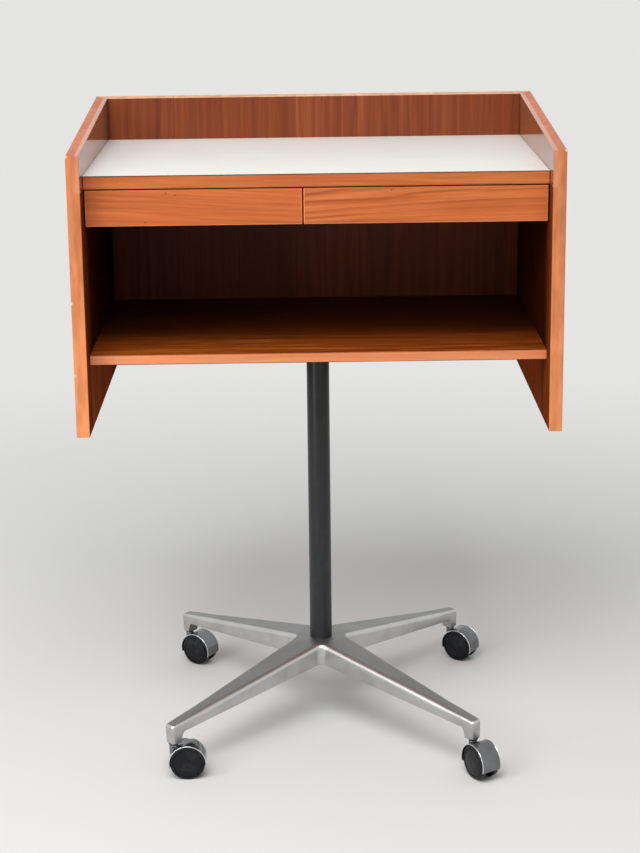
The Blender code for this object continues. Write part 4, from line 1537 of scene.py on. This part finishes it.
    def build_axle(self) -> None:
        """The axle: a rod with broken ends."""
        line = rod(self.axle_radius, -self.axle_half, self.axle_half)
        surface = lathe(fillet(line, self.axle_rounds, 2), 32)
        piece = surface.piece(f"{self.name}_spindle", self.finishes.steel, self.upright)
        show(piece, self.name, "steel", f"{self.name}_axle")

    def build_wheel(self, node: str, flip: float) -> None:
        """A wheel: a domed cover in a ring groove, a rounded tread and a blind bore, turned.

        Args:
            node: The wheel's node and body.
            flip: 1 for the wheel on the side that the axle's axis points away from.
        """
        radius, inner, face, bore = self.wheel_radius, self.wheel_inner, self.wheel_outer, self.wheel_bore
        disc = radius - self.cover_margin
        floor = face - self.groove_depth
        swell = np.linspace(0.0, 1.0, 12)
        dome = face + self.cover_rise * (1.0 - swell**2) - self.cover_sink
        groove = [(disc + step, floor) for step in self.groove]
        ring = [(disc + step, face + self.ring_rise) for step in self.ring]
        tread = [(radius, face - self.tread_fall), (radius, inner)]
        shell = fillet([*ring, *tread, (bore, inner), (bore, floor), (0.0, floor)], self.wheel_rounds, 5)
        profile = np.concatenate([np.stack([disc * swell, dome], axis=1), groove, shell])
        placing = self.upright @ np.diag([1.0, flip, flip, 1.0])
        surface = lathe(profile, self.wheel_steps)
        piece = surface.piece(f"{node}_disc", self.finishes.plastic, placing, self.wheel_sharp)
        show(piece, node, "black_plastic", node)


@dataclass(frozen=True)
class Lamp:
    """A square soft lamp: its place, the length of its side and its power in watts."""

    name: str
    place: Point
    size: float
    power: float


@dataclass
class Studio:
    """A plain pale floor, soft light and a camera at the photograph's angle."""

    axis: Vector
    case_bottom: float
    focal_pixels: float = 1924.0
    image_height: float = 853.0
    sensor: float = 36.0
    yaw: float = 0.0080
    pitch: float = 0.2427
    roll: float = 0.0118
    shift: float = -0.08
    stand_off: Point = (-0.0196, -2.8915, 0.7738)
    clip: Span = (0.05, 200.0)
    floor_radius: float = 2.4
    floor_fade: float = 0.3
    floor_colour: Colour = (0.80, 0.80, 0.79)
    floor_mottle: float = 0.97
    backdrop: Colour = (0.78, 0.78, 0.77)
    dome: tuple[tuple[float, Colour], ...] = (
        (0.0, (0.24, 0.245, 0.25)), (0.3, (0.30, 0.305, 0.31)), (0.9, (0.62, 0.62, 0.62)),
    )
    lamps: tuple[Lamp, ...] = (
        Lamp("top_lamp", (-0.35, -2.3, 3.55), 2.2, 94.0),
        Lamp("side_lamp", (-2.2, -1.9, 2.1), 1.4, 26.0),
        Lamp("low_lamp", (-2.0, -2.3, 0.40), 0.7, 9.0),
    )
    aim_height: float = 0.55

    def build(self) -> None:
        """Set up the camera, the floor, the world and the lamps."""
        self.build_camera()
        self.build_floor()
        self.build_world()
        for lamp in self.lamps:
            self.build_lamp(lamp)
        bpy.context.scene.view_settings.view_transform = "Standard"

    def build_camera(self) -> None:
        """A camera with the photograph's place, direction and field of view."""
        lens = bpy.data.cameras.new("camera")
        lens.sensor_width = self.sensor
        lens.lens = self.focal_pixels * self.sensor / self.image_height
        lens.shift_y = self.shift
        lens.clip_start, lens.clip_end = self.clip
        level = math.cos(self.pitch)
        ahead = Vector((math.sin(self.yaw) * level, math.cos(self.yaw) * level, -math.sin(self.pitch)))
        side = Vector((math.cos(self.yaw), -math.sin(self.yaw), 0.0))
        down = ahead.cross(side)
        right = side * math.cos(self.roll) + down * math.sin(self.roll)
        below = down * math.cos(self.roll) - side * math.sin(self.roll)
        turn = Matrix((right, -below, -ahead)).transposed().to_4x4()
        place = Vector((self.axis.x, self.axis.y, self.case_bottom)) + Vector(self.stand_off)
        camera = bpy.data.objects.new("camera", lens)
        camera.matrix_world = Matrix.Translation(place) @ turn
        bpy.context.scene.collection.objects.link(camera)
        bpy.context.scene.camera = camera

    def build_floor(self) -> None:
        """A round pale floor with a faint mottle, its rim fading into the backdrop."""
        bench = Bench(bpy.data.materials.new("pale_floor"))
        cloud = bench.noise(bench.place, 1.3, 3.0)
        distance = bench.vector("DISTANCE", bench.place, (0.0, 0.0, 0.0))
        bench.set(
            Base_Color=bench.mix(cloud, self.floor_colour, shaded(self.floor_colour, self.floor_mottle)),
            Roughness=0.9,
            Specular_IOR_Level=0.1,
            Alpha=distance.band(self.floor_radius, self.floor_fade * self.floor_radius),
        )
        rings = [(share * self.floor_radius, 0.0) for share in (0.0, 0.5, 1.0)]
        floor = lathe(rings, 96).piece("floor", bench.holder, np.eye(4))

    def build_world(self) -> None:
        """A soft dome, brighter overhead, that the camera and mirrors see as one plain pale colour."""
        world = bpy.data.worlds.new("soft_dome")
        bpy.context.scene.world = world
        bench = Bench(world, "Background", "Generated")
        dome = bench.ramp(bench.axis(bench.place, "Z"), self.dome)
        kinds = ("Is Camera Ray", "Is Glossy Ray", "Is Transmission Ray")
        camera, glossy, through = (bench.node("ShaderNodeLightPath", output=kind) for kind in kinds)
        bench.set(Color=bench.mix(camera + glossy + through, dome, self.backdrop), Strength=1.0)

    def build_lamp(self, lamp: Lamp) -> None:
        """A lamp that looks at the middle of the lectern and isn't seen itself.

        Args:
            lamp: The lamp.
        """
        light = bpy.data.lights.new(lamp.name, "AREA")
        light.size = lamp.size
        light.energy = lamp.power
        holder = bpy.data.objects.new(lamp.name, light)
        aim = Vector((self.axis.x, self.axis.y, self.aim_height)) - Vector(lamp.place)
        holder.location = lamp.place
        holder.rotation_euler = aim.to_track_quat("-Z", "Y").to_euler()
        holder.visible_camera = False
        bpy.context.scene.collection.objects.link(holder)


def clear() -> None:
    """Remove the objects that a new scene starts with."""
    for thing in list(bpy.data.objects):
        bpy.data.objects.remove(thing, do_unlink=True)


def main() -> None:
    """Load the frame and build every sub-assembly in order."""
    logging.basicConfig(level=logging.INFO, format="%(name)s: %(message)s")
    clear()
    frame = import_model()
    joints = {joint["name"]: joint for joint in frame["joints"]}
    tube_low, tube_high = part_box("column_tube")
    axis = (tube_low + tube_high) / 2
    case_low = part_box("left_side_panel")[0]
    back_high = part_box("back_panel")[1]
    case_high = Vector((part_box("right_side_panel")[1].x, back_high.y, back_high.z))
    finishes = Finishes(case_low, case_high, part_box("work_surface_laminate")[1].z)
    Case(finishes, frame["nodes"]).dress()
    Column(finishes, axis, frame["nodes"]["column_foot_plug"]).build()
    StarBase(finishes, axis).build()
    for corner in CORNERS:
        Castor(finishes, f"castor_{corner}", joints).build()
    Studio(axis, case_low.z).build()


if __name__ == "__main__":
    main()
